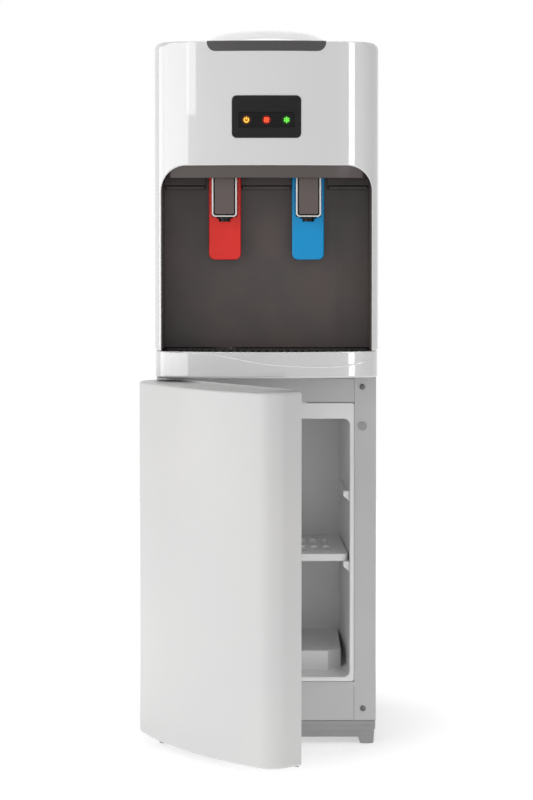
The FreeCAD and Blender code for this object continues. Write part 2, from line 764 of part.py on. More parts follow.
def make_hinge_brackets():
    """Steel hinge plates over and under the door, each with its pin."""
    pivot = ("hinge_inset - cabinet_width / 2", "-cabinet_depth / 2 - hinge_lead")
    near = "-cabinet_depth / 2 - fit_gap"
    upper = body_named("upper_hinge_bracket")
    plate = sketch_on(upper, "XY_Plane", "plate", "door_top + 1.5")
    polygon(plate, [("3 - cabinet_width / 2", near), ("3 - cabinet_width / 2", "-cabinet_depth / 2 - 30"),
                    ("-138", "-cabinet_depth / 2 - 42"), ("-80", "-cabinet_depth / 2 - 42"), ("-66", near)])
    pad(upper, plate, "3")
    pin = sketch_on(upper, "XY_Plane", "pin", "door_top - 11")
    circle(pin, *pivot, "hinge_pin_radius")
    pad(upper, pin, "13")

    lower = body_named("lower_hinge_bracket")
    plate = sketch_on(lower, "XY_Plane", "plate", "door_bottom - 4.5")
    polygon(plate, [("3 - cabinet_width / 2", near), ("3 - cabinet_width / 2", "-cabinet_depth / 2 - 22"),
                    ("-128", "-cabinet_depth / 2 - 22"), ("-104", near)])
    pad(lower, plate, "3")
    tab = sketch_on(lower, "XY_Plane", "tab", "foot_height + 3")
    polygon(tab, [("3 - cabinet_width / 2", near), ("3 - cabinet_width / 2", f"{near} - 2.5"),
                  ("-104", f"{near} - 2.5"), ("-104", near)])
    pad(lower, tab, "door_bottom - 4.5 - foot_height - 3")
    pin = sketch_on(lower, "XY_Plane", "pin", "door_bottom - 2")
    circle(pin, *pivot, "hinge_pin_radius")
    pad(lower, pin, "13")


# ---------------------------------------------------------------- front and top covers
def make_front_cover():
    """Glossy front cover: bowed skin with a flat top, cut away in an arch over the taps."""
    rear = "-cabinet_depth / 2 - fit_gap"
    half = "cabinet_width / 2 + 1"
    skin = front_extrusion("cover_skin", half, "0", rear, "tray_top + fit_gap", "cover_top")
    outline = rounded_prism("cover_front_view", (f"-({half})", half), ("-220", rear),
                            ("tray_top + fit_gap", "cover_top"), 10, is_high_edge)
    solid = common("cover_solid", skin, outline)
    hollow = front_extrusion("cover_hollow", f"{half} - mould_wall", "mould_wall", f"{rear} + 10",
                             "tray_top - 10", "cover_top - mould_wall")
    arch = rounded_prism("cover_arch", ("-arch_half", "arch_half"), ("-220", f"{rear} + 10"),
                         ("tray_top - 20", "arch_top"), 35, is_high_edge)
    panel_hole = rounded_prism("cover_panel_hole", ("-panel_half - fit_gap", "panel_half + fit_gap"),
                               ("-220", "-150"), ("panel_low - fit_gap", "panel_high + fit_gap"), 6.3)
    notch = rounded_prism("cover_notch", ("-81.8", "81.8"), ("-220", "-186"),
                          ("cover_top - 14.3", "cover_top + 5"), 12.3, is_low_edge)
    keep(cut("cover_piece", solid, hollow, arch, panel_hole, notch), "front_cover")
    insert_block = rounded_prism("insert_block", ("-81.5", "81.5"), ("-220", "-186.3"),
                                 ("cover_top - 14", "cover_top"), 12, is_low_edge)
    insert_skin = front_skin("insert_skin", "0", "20", "cover_top - 14", "cover_top")
    insert = common("insert_solid", insert_block, insert_skin)
    keep(insert, "top_insert")


def is_high_edge(edge):
    """The two upper edges of a front-view outline."""
    return edge.CenterOfMass.z > number("arch_top") - 1


def is_low_edge(edge):
    """The two lower edges of the trim at the top of the cover."""
    return edge.CenterOfMass.z < number("cover_top") - 10


def make_control_panel():
    """Bezel, smoked window, light guides and circuit board of the indicator panel."""
    high_low = ("panel_low", "panel_high")
    prism = rounded_prism("bezel_block", ("-panel_half", "panel_half"), ("-220", "-150"), high_low, 6)
    solid = common("bezel_solid", prism, front_skin("bezel_skin", "1", "5", *high_low))
    opening = rounded_prism("bezel_opening", ("-window_half", "window_half"), ("-220", "-150"),
                            ("window_low", "window_high"), 1.6)
    keep(cut("bezel_piece", solid, opening), "control_panel_bezel")
    glass = rounded_prism("window_block", ("0.2 - window_half", "window_half - 0.2"), ("-220", "-150"),
                          ("window_low + 0.2", "window_high - 0.2"), 1.4)
    keep(common("window_piece", glass, front_skin("window_skin", "0.3", "1.5", "window_low", "window_high")),
         "indicator_window")
    middle = "(window_low + window_high) / 2"
    guides = [
        common(f"light_guide_{step + 1}",
               rod(f"light_rod_{step + 1}", "4.5", (f"{step} * light_spacing", "-200", middle), "40",
                   BACKWARD),
               front_skin(f"light_skin_{step + 1}", "-1.8", "10", "window_low", "window_high"))
        for step in (-1, 0, 1)
    ]
    keep(grouped("all_lights", *guides), "indicator_lights")
    plate = block("board_plate", ("-43", "43"), ("-185", "-183.4"), ("window_low - 9", "window_high + 14"))
    socket = block("board_socket", ("-9", "9"), ("-183.4", "-176"), ("window_high + 3", "window_high + 11"))
    keep(fused("board_piece", plate, socket), "indicator_board")


def make_top_cover():
    """Lid behind the front cover, with the round opening for the bottle collar."""
    body = body_named("top_cover")
    half = "cabinet_width / 2 + 1"
    plan = sketch_on(body, "XY_Plane", "plan", "cover_top - 17")
    rounded_rectangle(plan, (f"-({half})", half), ("-cabinet_depth / 2", "cabinet_depth / 2 + 2"), "1")
    pad(body, plan, "17")
    fillet(body, 9.5, lambda edge: on_lid_edge(edge))
    hollow = sketch_on(body, "XY_Plane", "hollow", "cover_top - 18")
    rounded_rectangle(hollow, (f"2.6 - ({half})", f"{half} - 2.6"),
                      ("2.6 - cabinet_depth / 2", "cabinet_depth / 2 - 0.6"), "1")
    pocket(body, hollow, "15")
    opening = sketch_on(body, "XY_Plane", "opening", "cover_top - 5")
    circle(opening, "0", "-bottle_lead", "collar_radius + 0.6")
    pocket(body, opening, "10")


def on_lid_edge(edge):
    """The long upper side edges of the lid."""
    middle = edge.CenterOfMass
    return (runs_along(edge, BACKWARD) and middle.z > number("cover_top") - 0.01)


def make_collar():
    """Bottle seat: domed ring and funnel that drop into the lid and the cold tank's neck."""
    body = body_named("bottle_collar")
    section = sketch_on(body, "XZ_Plane", "section", "bottle_lead")
    outer = [("collar_radius", "cover_top - 8"), ("collar_radius", "cover_top + 6"),
             ("collar_radius - 4", "cover_top + 13"), ("collar_radius - 20", "collar_top - 5"),
             ("collar_radius - 40", "collar_top"), ("throat_radius + 12", "collar_top - 1"),
             ("throat_radius", "cover_top - 9"), ("throat_radius", "926")]
    inner = [("throat_radius + 3", "926"), ("throat_radius + 3", "cover_top - 9.5"),
             ("throat_radius + 14", "collar_top - 4"), ("collar_radius - 40", "collar_top - 3.2"),
             ("collar_radius - 21", "collar_top - 8"), ("collar_radius - 6.5", "cover_top + 10.5"),
             ("collar_radius - 3", "cover_top + 5"), ("collar_radius - 3", "cover_top - 8")]
    polygon(section, outer + inner)
    revolve(body, section)
    fillet(body, 3, lambda edge: is_dome_ring(edge))


def is_dome_ring(edge):
    """The obtuse rings of the dome's outer face."""
    if not isinstance(edge.Curve, Part.Circle):
        return False
    wide = edge.Curve.Radius > number("collar_radius") - 45
    return wide and edge.CenterOfMass.z > number("cover_top") + 5 and is_outer_ring(edge)


def is_outer_ring(edge):
    """True for the rings on the dome's outside."""
    rings = ((0, 6), (4, 13), (20, None))
    radius, height = edge.Curve.Radius, edge.CenterOfMass.z
    for inset, rise in rings:
        level = number("collar_top - 5") if rise is None else number("cover_top") + rise
        if abs(radius - number("collar_radius") + inset) < 0.01 and abs(height - level) < 0.01:
            return True
    return False


# ---------------------------------------------------------------- dispensing section
def make_recess():
    """Dark alcove behind the taps: back wall, cheeks, ceiling and a stepped header."""
    back = "-recess_back"
    side = "recess_half"
    outer = block("recess_outer", (f"-{side}", side), ("-166", f"{back} + 2.5"),
                  ("tray_top + 0.5", "arch_top + 6.5"))
    hollow = block("recess_hollow", (f"2.5 - {side}", f"{side} - 2.5"), ("-170", back),
                   ("tray_top - 1", "arch_top + 4"))
    header = [
        block(f"recess_header_{index}", (low, high), (f"{back} - 4", f"{back} + 1"), ("777", "arch_top + 5"))
        for index, (low, high) in enumerate((("-144", "-86"), ("-35", "35"), ("86", "144")))
    ]
    tap_holes = [
        block(f"recess_tap_hole_{side_sign + 1}",
              (f"{side_sign} * tap_spacing / 2 - 23.5", f"{side_sign} * tap_spacing / 2 + 23.5"),
              ("-157", "-100"), ("arch_top", "arch_top + 8"))
        for side_sign in (-1, 1)
    ]
    shell = cut("recess_shell", outer, hollow)
    keep(cut("recess_piece", fused("recess_solid", shell, *header), *tap_holes), "recess_panel")


def make_fascia():
    """Slanted glossy strip under the cover's arch."""
    body = body_named("fascia")
    low = fascia_section(body, "low", "arch_top - 17", "12")
    high = fascia_section(body, "high", "arch_top + 3.5", "5")
    loft(body, "AdditiveLoft", low, high)
    inner_low = fascia_section(body, "inner_low", "arch_top - 18", "15")
    inner_high = fascia_section(body, "inner_high", "arch_top + 4.5", "8")
    loft(body, "SubtractiveLoft", inner_low, inner_high)
    behind = sketch_on(body, "XY_Plane", "behind", "arch_top - 19")
    polygon(behind, [("-150", "-166.5"), ("150", "-166.5"), ("150", "-100"), ("-150", "-100")])
    pocket(body, behind, "30")


def fascia_section(body, name, height, inset):
    sketch = sketch_on(body, "XY_Plane", name, height)
    front_plan(sketch, f"cabinet_width / 2 - {inset}", inset, "-130")
    return sketch


def make_tray_band():
    """Front band that hides the drip tray, closed below and open on top."""
    body = body_named("tray_band")
    outer = sketch_on(body, "XY_Plane", "outer", "tray_bottom")
    rear = "-cabinet_depth / 2 - fit_gap"
    front_plan(outer, "cabinet_width / 2", "0", rear)
    pad(body, outer, "tray_top - tray_bottom")
    fillet(body, 2, lambda edge: on_band_rim(edge))
    inner = sketch_on(body, "XY_Plane", "inner", "tray_bottom - 1")
    front_plan(inner, "cabinet_width / 2 - mould_wall", "mould_wall", f"{rear} + 10")
    pocket(body, inner, "tray_top - tray_bottom + 2")


def on_band_rim(edge):
    """The bowed edges at the top and bottom of the tray band."""
    middle = edge.CenterOfMass
    return not runs_along(edge, UP) and middle.y < number("-cabinet_depth / 2 - 2")


def make_deck():
    """Moulded deck inside the band and the cabinet that carries the tray and the tanks."""
    body = body_named("machine_deck")
    plan = sketch_on(body, "XY_Plane", "plan", "deck_bottom")
    front_plan(plan, "cabinet_width / 2 - mould_wall - fit_gap", "mould_wall + fit_gap",
               "cabinet_depth / 2 - 1.5")
    pad(body, plan, "2")


def make_tray():
    """Removable drip tray: a shallow basin with a rim."""
    body = body_named("drip_tray")
    floor = "deck_bottom + 2.3"
    outer = sketch_on(body, "XY_Plane", "outer", floor)
    front_plan(outer, "cabinet_width / 2 - 12", "6", "-recess_back - 4")
    pad(body, outer, f"tray_top - 1 - ({floor})")
    inner = sketch_on(body, "XY_Plane", "inner", f"{floor} + 2")
    front_plan(inner, "cabinet_width / 2 - 14", "8", "-recess_back - 6")
    pocket(body, inner, "40")


def make_grille():
    """Slotted grille that drops into the drip tray and stands on its floor."""
    body = body_named("drip_grille")
    top = sketch_on(body, "XY_Plane", "plan", "tray_top - 5")
    front_plan(top, "cabinet_width / 2 - 14.4", "8.4", "-recess_back - 6.4")
    pad(body, top, "3")
    slot = sketch_on(body, "XY_Plane", "slot", "tray_top - 6")
    rounded_rectangle(slot, ("-122.5", "-117.5"), ("-168", "-102"), "2.4")
    repeat_across(body, pocket(body, slot, "6"), slot, "240", 25)
    legs = sketch_on(body, "XY_Plane", "legs", "deck_bottom + 4.3")
    for x in ("-115", "115"):
        for y in ("-155", "-96"):
            circle(legs, x, y, "3")
    pad(body, legs, "tray_top - 4.5 - (deck_bottom + 4.3)")


# ---------------------------------------------------------------- taps
def make_tap(label, side):
    """Tap body: block with a valve chamber and seat, nozzle, flange, tail and hinge ears."""
    middle = f"{side} * tap_spacing / 2"
    front, back, axis = "-tap_front", "-tap_back", "-tap_axis"

    def across(half):
        return (f"{middle} - {half}", f"{middle} + {half}")

    shank = block(f"{label}_shank", across("tap_half"), (front, back), ("tap_bottom", "834"))
    shank = rounded(f"{label}_shank_round", shank, 2, lambda edge: at_bottom_edge(edge))
    nozzle = rod(f"{label}_nozzle", "8", (middle, f"{axis} - 1", "tap_bottom - 6.5"), "8")
    collar = rod(f"{label}_nozzle_collar", "11", (middle, f"{axis} - 1", "tap_bottom - 2.5"), "4")
    flange = block(f"{label}_flange", across("28"), ("-161", "-96"), ("arch_top + 6.8", "arch_top + 9.8"))
    tail = rod(f"{label}_tail", "7", (middle, f"{back} - 1", "824"), "40", BACKWARD)
    ears = [
        block(f"{label}_ear_{end + 1}", (f"{middle} + {low}", f"{middle} + {high}"),
              (f"{back} - 1", "-pivot_lead + 5"), ("797", "arch_top + 8"))
        for end, low, high in ((-1, -15.5, -9), (1, 9, 15.5))
    ]
    chamber_low = block(f"{label}_chamber_low", across("7"), ("-145", "-129"), ("745", "766"))
    chamber_high = block(f"{label}_chamber_high", across("7"), ("-145", "-129"), ("770", "828"))
    seat = rod(f"{label}_seat", "4", (middle, axis, "760"), "15")
    outlet = rod(f"{label}_outlet", "4", (middle, f"{axis} - 1", "725"), "30")
    arm_way = block(f"{label}_arm_way", across("7"), ("-131", "-100"), ("796", "813.5"))
    lever_way = block(f"{label}_lever_way", across("8.7"), ("-117.8", "-90"), ("790", "813.5"))
    bore = rod(f"{label}_bore", "4.5", (middle, "-135", "824"), "70", BACKWARD)
    pin_hole = rod(f"{label}_pin_hole", "1.5", (f"{middle} - 20", "-pivot_lead", "pivot_height"), "40",
                   RIGHTWARD)
    solid = fused(f"{label}_solid", shank, nozzle, collar, flange, tail, *ears)
    hollows = (chamber_low, chamber_high, seat, outlet, arm_way, lever_way, bore, pin_hole)
    keep(cut(f"{label}_piece", solid, *hollows), label)


def at_bottom_edge(edge):
    """The lower edges of a tap block along its depth, and its upright edges."""
    low = abs(edge.CenterOfMass.z - number("tap_bottom")) < 0.01
    return runs_along(edge, UP) or (low and runs_along(edge, BACKWARD))


def make_tap_fronts():
    """Bright frames and inset plates on the two tap blocks."""
    frames = []
    plates = []
    for side in (-1, 1):
        middle = f"{side} * tap_spacing / 2"
        outer = rounded_prism(f"trim_outer_{side + 1}", (f"{middle} - tap_half", f"{middle} + tap_half"),
                              ("-tap_front - 2.5", "-tap_front"), ("tap_bottom", "arch_top - 2"), 3)
        inner = rounded_prism(f"trim_inner_{side + 1}",
                              (f"{middle} - tap_half + 2.3", f"{middle} + tap_half - 2.3"),
                              ("-tap_front - 4", "-tap_front + 1"),
                              ("tap_bottom + 2.3", "arch_top - 4.3"), 1.2)
        frames.append(cut(f"trim_{side + 1}", outer, inner))
        plates.append(rounded_prism(
            f"plate_{side + 1}", (f"{middle} - tap_half + 4.1", f"{middle} + tap_half - 4.1"),
            ("-tap_front - 2", "-tap_front"), ("tap_bottom + 4.1", "arch_top - 6.1"), 0.8))
    keep(grouped("both_trims", *frames), "tap_trims")
    keep(grouped("both_plates", *plates), "tap_faces")


def make_paddle(label, side):
    """Cup lever: rounded plate, hinge barrel on top and a fork that presses the valve stem."""
    middle = f"{side} * tap_spacing / 2"
    body = body_named(label)
    face = sketch_on(body, "XZ_Plane", "face", "pivot_lead + 1.5")
    rounded_rectangle(face, (f"{middle} - paddle_half", f"{middle} + paddle_half"),
                      ("paddle_bottom", "pivot_height - 7.5"), "8.5")
    pad(body, face, "3")
    crown = sketch_on(body, "XZ_Plane", "crown", "pivot_lead + 1.5")
    left, right = f"{middle} - paddle_half", f"{middle} + paddle_half"
    polygon(crown, [(left, "pivot_height - 20"), (right, "pivot_height - 20"),
                    (right, "pivot_height - 7.5"), (left, "pivot_height - 7.5")])
    pad(body, crown, "3")
    fillet(body, 0.9, lambda edge: on_paddle_face(edge))
    tab = sketch_on(body, "XZ_Plane", "tab", "pivot_lead + 1.5")
    polygon(tab, [(f"{middle} - 8", "pivot_height - 9"), (f"{middle} + 8", "pivot_height - 9"),
                  (f"{middle} + 8", "pivot_height"), (f"{middle} - 8", "pivot_height")])
    pad(body, tab, "2.5")
    barrel = sketch_on(body, "YZ_Plane", "barrel", f"{middle} - 8")
    circle(barrel, "-pivot_lead", "pivot_height", "4")
    pad(body, barrel, "16")
    arm = sketch_on(body, "XY_Plane", "arm", "pivot_height - 1.4")
    polygon(arm, [
        (f"{middle} - 6.2", "-pivot_lead"), (f"{middle} - 6.2", "-142"), (f"{middle} - 3.4", "-142"),
        (f"{middle} - 3.4", "-131"), (f"{middle} + 3.4", "-131"), (f"{middle} + 3.4", "-142"),
        (f"{middle} + 6.2", "-142"), (f"{middle} + 6.2", "-pivot_lead")])
    pad(body, arm, "2.8")
    pin_way = sketch_on(body, "YZ_Plane", "pin_way", f"{middle} - 10")
    circle(pin_way, "-pivot_lead", "pivot_height", "1.5 + running_gap")
    pocket(body, pin_way, "20")


def on_paddle_face(edge):
    """The long edges around a paddle's front face."""
    return abs(edge.CenterOfMass.y - number("-pivot_lead - 4.5")) < 0.01


def make_stem(label, side):
    """Valve stem: top cap under the fork, rod through the seat and a rubber head."""
    middle = f"{side} * tap_spacing / 2"
    axis = "-tap_axis"
    shaft = rod(f"{label}_shaft", "2.3", (middle, axis, "762"), "37.5")
    cap = rod(f"{label}_cap", "5.4", (middle, axis, "797"), "2.8")
    head = rod(f"{label}_head", "5.5", (middle, axis, "761"), "4.7")
    keep(fused(f"{label}_piece", shaft, cap, head), label)


def make_spring(label, side):
    """Return spring between the valve seat and the stem's cap, bent in short straight steps."""
    low, high, coil, wire, turns, steps = 770.2, 796.8, 4.6, 0.5, 6, 10
    rise = (high - low - 3 * wire) / (turns * steps)
    turn = 2 * math.pi / steps
    path = Part.makePolygon([
        FreeCAD.Vector(coil * math.cos(turn * index), coil * math.sin(turn * index), rise * index)
        for index in range(turns * steps + 1)
    ])
    heading = path.Edges[0].Curve.Direction
    section = Part.Wire(Part.Circle(path.Vertexes[0].Point, heading, wire).toShape())
    spring = doc.addObject("Part::Feature", label)
    spring.Shape = path.makePipeShell([section], True, True, 1)
    spring.Placement.Base = FreeCAD.Vector(
        number(f"{side} * tap_spacing / 2"), number("-tap_axis"), low + 1.5 * wire)
    keep(spring, label)


def make_paddle_pins():
    pins = [
        rod(f"pin_{side + 1}", "1.5", (f"{side} * tap_spacing / 2 - 15.5", "-pivot_lead", "pivot_height"),
            "31", RIGHTWARD)
        for side in (-1, 1)
    ]
    keep(grouped("both_pins", *pins), "paddle_pins")


# ---------------------------------------------------------------- water and power parts
def turned(label, centre, points):
    """A solid of revolution about a vertical axis at (x, y), from a radius and height profile."""
    body = body_named(label)
    section = sketch_on(body, "XZ_Plane", "section")
    polygon(section, points)
    revolve(body, section)
    bind(body, "Placement.Base.x", centre[0])
    bind(body, "Placement.Base.y", centre[1])
    return body


def make_cold_tank():
    """Steel cold tank: open-necked vessel, its foam jacket and its flat cooling pad."""
    centre = ("0", "-bottle_lead")
    wall = "1.2"
    radius, neck = "cold_radius", "throat_radius + 6"
    turned("cold_tank", centre, [
        ("0", "cold_bottom"), (radius, "cold_bottom"), (radius, "cold_top - 8"),
        (f"{radius} - 8", "cold_top"), (f"{neck} + {wall}", "cold_top"),
        (f"{neck} + {wall}", "cold_top + 36"),
        (neck, "cold_top + 36"), (neck, f"cold_top - {wall}"), (f"{radius} - 8.5", f"cold_top - {wall}"),
        (f"{radius} - {wall}", "cold_top - 8.5"), (f"{radius} - {wall}", f"cold_bottom + {wall}"),
        ("0", f"cold_bottom + {wall}")])
    outside = rod("foam_outer", f"{radius} + 16", (*centre, "cold_bottom - 17.5"), "147")
    inside = rod("foam_inner", f"{radius} + fit_gap", (*centre, "cold_bottom - fit_gap"), "160")
    pad_way = block("foam_pad_way", ("-32", "32"), ("20", "90"), ("fan_height - 32", "fan_height + 32"))
    flat = block("foam_flat", ("-70", "70"), ("46", "90"), ("cold_bottom - 30", "cold_top + 10"))
    outlets = [
        rod("foam_cold_way", "5.5", ("30", "-30", "cold_bottom - 40"), "60"),
        rod("foam_feed_way", "5.5", ("-25", "10", "cold_bottom - 40"), "60"),
    ]
    keep(cut("foam_piece", outside, inside, pad_way, flat, *outlets), "cold_tank_insulation")


def make_cooler():
    """Thermoelectric module on a saddle, finned heat sink, fan frame and rotor."""
    saddle = block("saddle_block", ("-28", "28"), ("20", "46"), ("fan_height - 28", "fan_height + 28"))
    around = rod("saddle_tank", "cold_radius + 0.25", ("0", "-bottle_lead", "cold_bottom - 5"), "150")
    module = block("module_wafer", ("-20", "20"), ("46", "50"), ("fan_height - 20", "fan_height + 20"))
    keep(fused("module_piece", cut("saddle", saddle, around), module), "thermoelectric_module")
    sink_base = block("sink_base", ("-50", "50"), ("50.2", "56"), ("fan_height - 48", "fan_height + 48"))
    fins = [
        block(f"sink_fin_{index}", (f"{-49.5 + 7 * index}", f"{-47.9 + 7 * index}"), ("56", "88"),
              ("fan_height - 48", "fan_height + 48"))
        for index in range(15)
    ]
    keep(fused("sink_piece", sink_base, *fins), "heat_sink")
    frame = block("fan_block", ("-46", "46"), ("90", "112"), ("fan_height - 46", "fan_height + 46"))
    frame = rounded("fan_block_round", frame, 5, lambda edge: runs_along(edge, BACKWARD))
    duct = rod("fan_duct", "43", ("0", "85", "fan_height"), "40", BACKWARD)
    hub = rod("fan_hub", "16", ("0", "90", "fan_height"), "3", BACKWARD)
    arms = [
        block("fan_arm_across", ("-44", "44"), ("90", "93"), ("fan_height - 3", "fan_height + 3")),
        block("fan_arm_upright", ("-3", "3"), ("90", "93"), ("fan_height - 44", "fan_height + 44")),
    ]
    stub = rod("fan_stub", "2.5", ("0", "90", "fan_height"), "12", BACKWARD)
    keep(fused("fan_piece", cut("fan_ring", frame, duct), hub, stub, *arms), "fan_frame")


def make_fan_rotor():
    """Rotor: hub that runs on the frame's stub and seven pitched blades."""
    hub = rod("rotor_hub", "16", ("0", "94", "fan_height"), "15", BACKWARD)
    bore = rod("rotor_bore", "2.5 + running_gap", ("0", "93", "fan_height"), "10.5", BACKWARD)
    blades = []
    for index in range(7):
        blade = doc.addObject("Part::Box", f"rotor_blade_{index}")
        bind(blade, "Length", "1.6")
        bind(blade, "Width", "15")
        bind(blade, "Height", "25.5")
        pitch = FreeCAD.Rotation(UP, 38)
        station = FreeCAD.Rotation(BACKWARD, index * 360 / 7)
        offset = FreeCAD.Vector(-4, 95, 14)
        blade.Placement = FreeCAD.Placement(
            station.multVec(offset) + UP * number("fan_height"), station.multiply(pitch))
        blades.append(blade)
    keep(cut("rotor_piece", fused("rotor_solid", hub, *blades), bore), "fan_rotor")


def make_hot_tank():
    """Steel hot tank on three legs, and the band heater clamped round it."""
    centre = ("-hot_offset", "hot_setback")
    shell = rod("hot_shell", "hot_radius", (*centre, "hot_bottom"), "hot_top - hot_bottom")
    shell = rounded("hot_shell_round", shell, 5, lambda edge: isinstance(edge.Curve, Part.Circle))
    inside = rod("hot_inside", "hot_radius - 1.2", (*centre, "hot_bottom + 1.2"),
                 "hot_top - hot_bottom - 2.4")
    inside = rounded("hot_inside_round", inside, 4, lambda edge: isinstance(edge.Curve, Part.Circle))
    legs = [
        rod(f"hot_leg_{index}", "4",
            (f"-hot_offset + {30 * math.cos(index * 2.0944):.2f}",
             f"hot_setback + {30 * math.sin(index * 2.0944):.2f}", "deck_bottom + 2"),
            "hot_bottom - deck_bottom - 1.9")
        for index in range(3)
    ]
    drain_way = rod("hot_drain_way", "5", ("-hot_offset", "hot_setback + 30", "hot_bottom + 14"), "20",
                    BACKWARD)
    vessel = fused("hot_solid", cut("hot_vessel", shell, inside), *legs)
    keep(cut("hot_piece", vessel, drain_way), "hot_tank")
    band = rod("band_outer", "hot_radius + 5", (*centre, "590"), "46")
    hole = rod("band_inner", "hot_radius + 0.2", (*centre, "585"), "60")
    split = block("band_split", ("-hot_offset + 20", "-hot_offset + 60"),
                  ("hot_setback - 2", "hot_setback + 2"), ("585", "645"))
    keep(cut("band_piece", band, hole, split), "band_heater")


def make_thermostats():
    """Two button thermostats on the lid of the hot tank."""
    buttons = []
    for index, (dx, dy) in enumerate((("-18", "-12"), ("16", "14"))):
        place = (f"-hot_offset + {dx}", f"hot_setback + {dy}")
        can = rod(f"thermostat_can_{index}", "8", (*place, "hot_top + 0.1"), "7")
        cap = rod(f"thermostat_cap_{index}", "6.5", (*place, "hot_top + 7"), "6")
        buttons.append(fused(f"thermostat_{index}", can, cap))
    keep(grouped("both_thermostats", *buttons), "thermostats")


def make_power_board():
    """Power supply and control board standing on the deck beside the hot tank."""
    board = block("power_pcb", ("20", "122"), ("86", "87.6"), ("deck_bottom + 2.3", "660"))
    foot = block("power_foot", ("20", "122"), ("66", "92"), ("deck_bottom + 2.3", "deck_bottom + 4.3"))
    transformer = block("power_transformer", ("30", "66"), ("60", "86"), ("580", "618"))
    relay = block("power_relay", ("78", "98"), ("70", "86"), ("590", "606"))
    caps = [
        rod(f"power_cap_{index}", "7", (x, "62", z), "24", BACKWARD)
        for index, (x, z) in enumerate((("88", "630"), ("108", "630"), ("108", "566")))
    ]
    keep(fused("power_piece", board, foot, transformer, relay, *caps), "power_board")


def make_tank_shelf():
    """Folded steel shelf between the sides that carries the cold tank."""
    half = "cabinet_width / 2 - sheet_gauge - fit_gap"
    low = "cold_bottom - 20"
    plate = block("tank_shelf_plate", (f"-({half})", half), ("-78", "80"), (low, f"{low} + 1.5"))
    ends = [
        block("tank_shelf_end_0", (f"-({half})", f"1.5 - ({half})"), ("-78", "80"), (f"{low} - 18", low)),
        block("tank_shelf_end_1", (f"{half} - 1.5", half), ("-78", "80"), (f"{low} - 18", low)),
    ]
    ways = [
        rod("tank_shelf_cold_way", "6", ("30", "-30", "700"), "90"),
        rod("tank_shelf_feed_way", "6", ("-25", "10", "700"), "90"),
        rod("tank_shelf_cold_riser_way", "6", ("100", "-30", "700"), "90"),
        rod("tank_shelf_hot_riser_way", "6", ("-100", "-30", "700"), "90"),
    ]
    keep(cut("tank_shelf_piece", fused("tank_shelf_solid", plate, *ends), *ways), "tank_shelf")


def make_tubes():
    """Silicone tubes: tank to cold tap, hot tank to hot tap, and cold tank to hot tank."""
    lead, setback = -number("bottle_lead"), number("hot_setback")
    tap_x, tail_y, tail_z = number("tap_spacing / 2"), -78.5, 824
    hot_x = -number("hot_offset")
    cold_z, hot_z = number("cold_bottom") - 0.5, number("hot_top") + 0.3
    round_tube("cold_tube", 4.5, [
        (30, -30, cold_z), (30, -30, 718), (100, -30, 715), (100, -30, 800), (tap_x, -55, tail_z),
        (tap_x, tail_y, tail_z)], 9)
    round_tube("hot_tube", 4.5, [
        (hot_x - 20, setback + 14, hot_z), (hot_x - 20, setback + 14, 705), (-100, -30, 715),
        (-100, -30, 800), (-tap_x, -55, tail_z), (-tap_x, tail_y, tail_z)], 9)
    round_tube("feed_tube", 4.5, [
        (-25, 10, cold_z), (-25, 10, 700), (hot_x + 22, setback - 14, 690),
        (hot_x + 22, setback - 14, hot_z)], 7)


def make_drain():
    """Drain spigot from the hot tank through the back panel, and its screw cap."""
    x, z = "-hot_offset", "hot_bottom + 14"
    tube = rod("drain_tube", "8", (x, "hot_setback + hot_radius + 0.2", z), "71", BACKWARD)
    nut = rod("drain_nut", "13", (x, "cabinet_depth / 2 + 1.4", z), "3", BACKWARD)
    bore = rod("drain_bore", "5", (x, "0", z), "200", BACKWARD)
    keep(cut("drain_piece", fused("drain_solid", tube, nut), bore), "drain_spigot")
    shell = rod("cap_shell", "11", (x, "cabinet_depth / 2 + 4.7", z), "14", BACKWARD)
    shell = rounded("cap_round", shell, 1.5, lambda edge: isinstance(edge.Curve, Part.Circle)
                    and edge.CenterOfMass.y > number("cabinet_depth / 2 + 10"))
    hollow = rod("cap_hollow", "8 + running_gap", (x, "cabinet_depth / 2", z), "16.5", BACKWARD)
    keep(cut("cap_piece", shell, hollow), "drain_cap")


def make_gland():
    """Rubber cord gland in the back panel."""
    barrel = rod("gland_barrel", "8", ("110", "cabinet_depth / 2 - 6", "60"), "13", BACKWARD)
    flange = rod("gland_flange", "11", ("110", "cabinet_depth / 2 + 1.4", "60"), "3", BACKWARD)
    bore = rod("gland_bore", "3.6", ("110", "cabinet_depth / 2 - 10", "60"), "30", BACKWARD)
    keep(cut("gland_piece", fused("gland_solid", barrel, flange), bore), "cord_gland")


SWITCH_HEIGHTS = (700, 660)
ROCKER_TILT = 8
ROCKER_AXIS = "119"


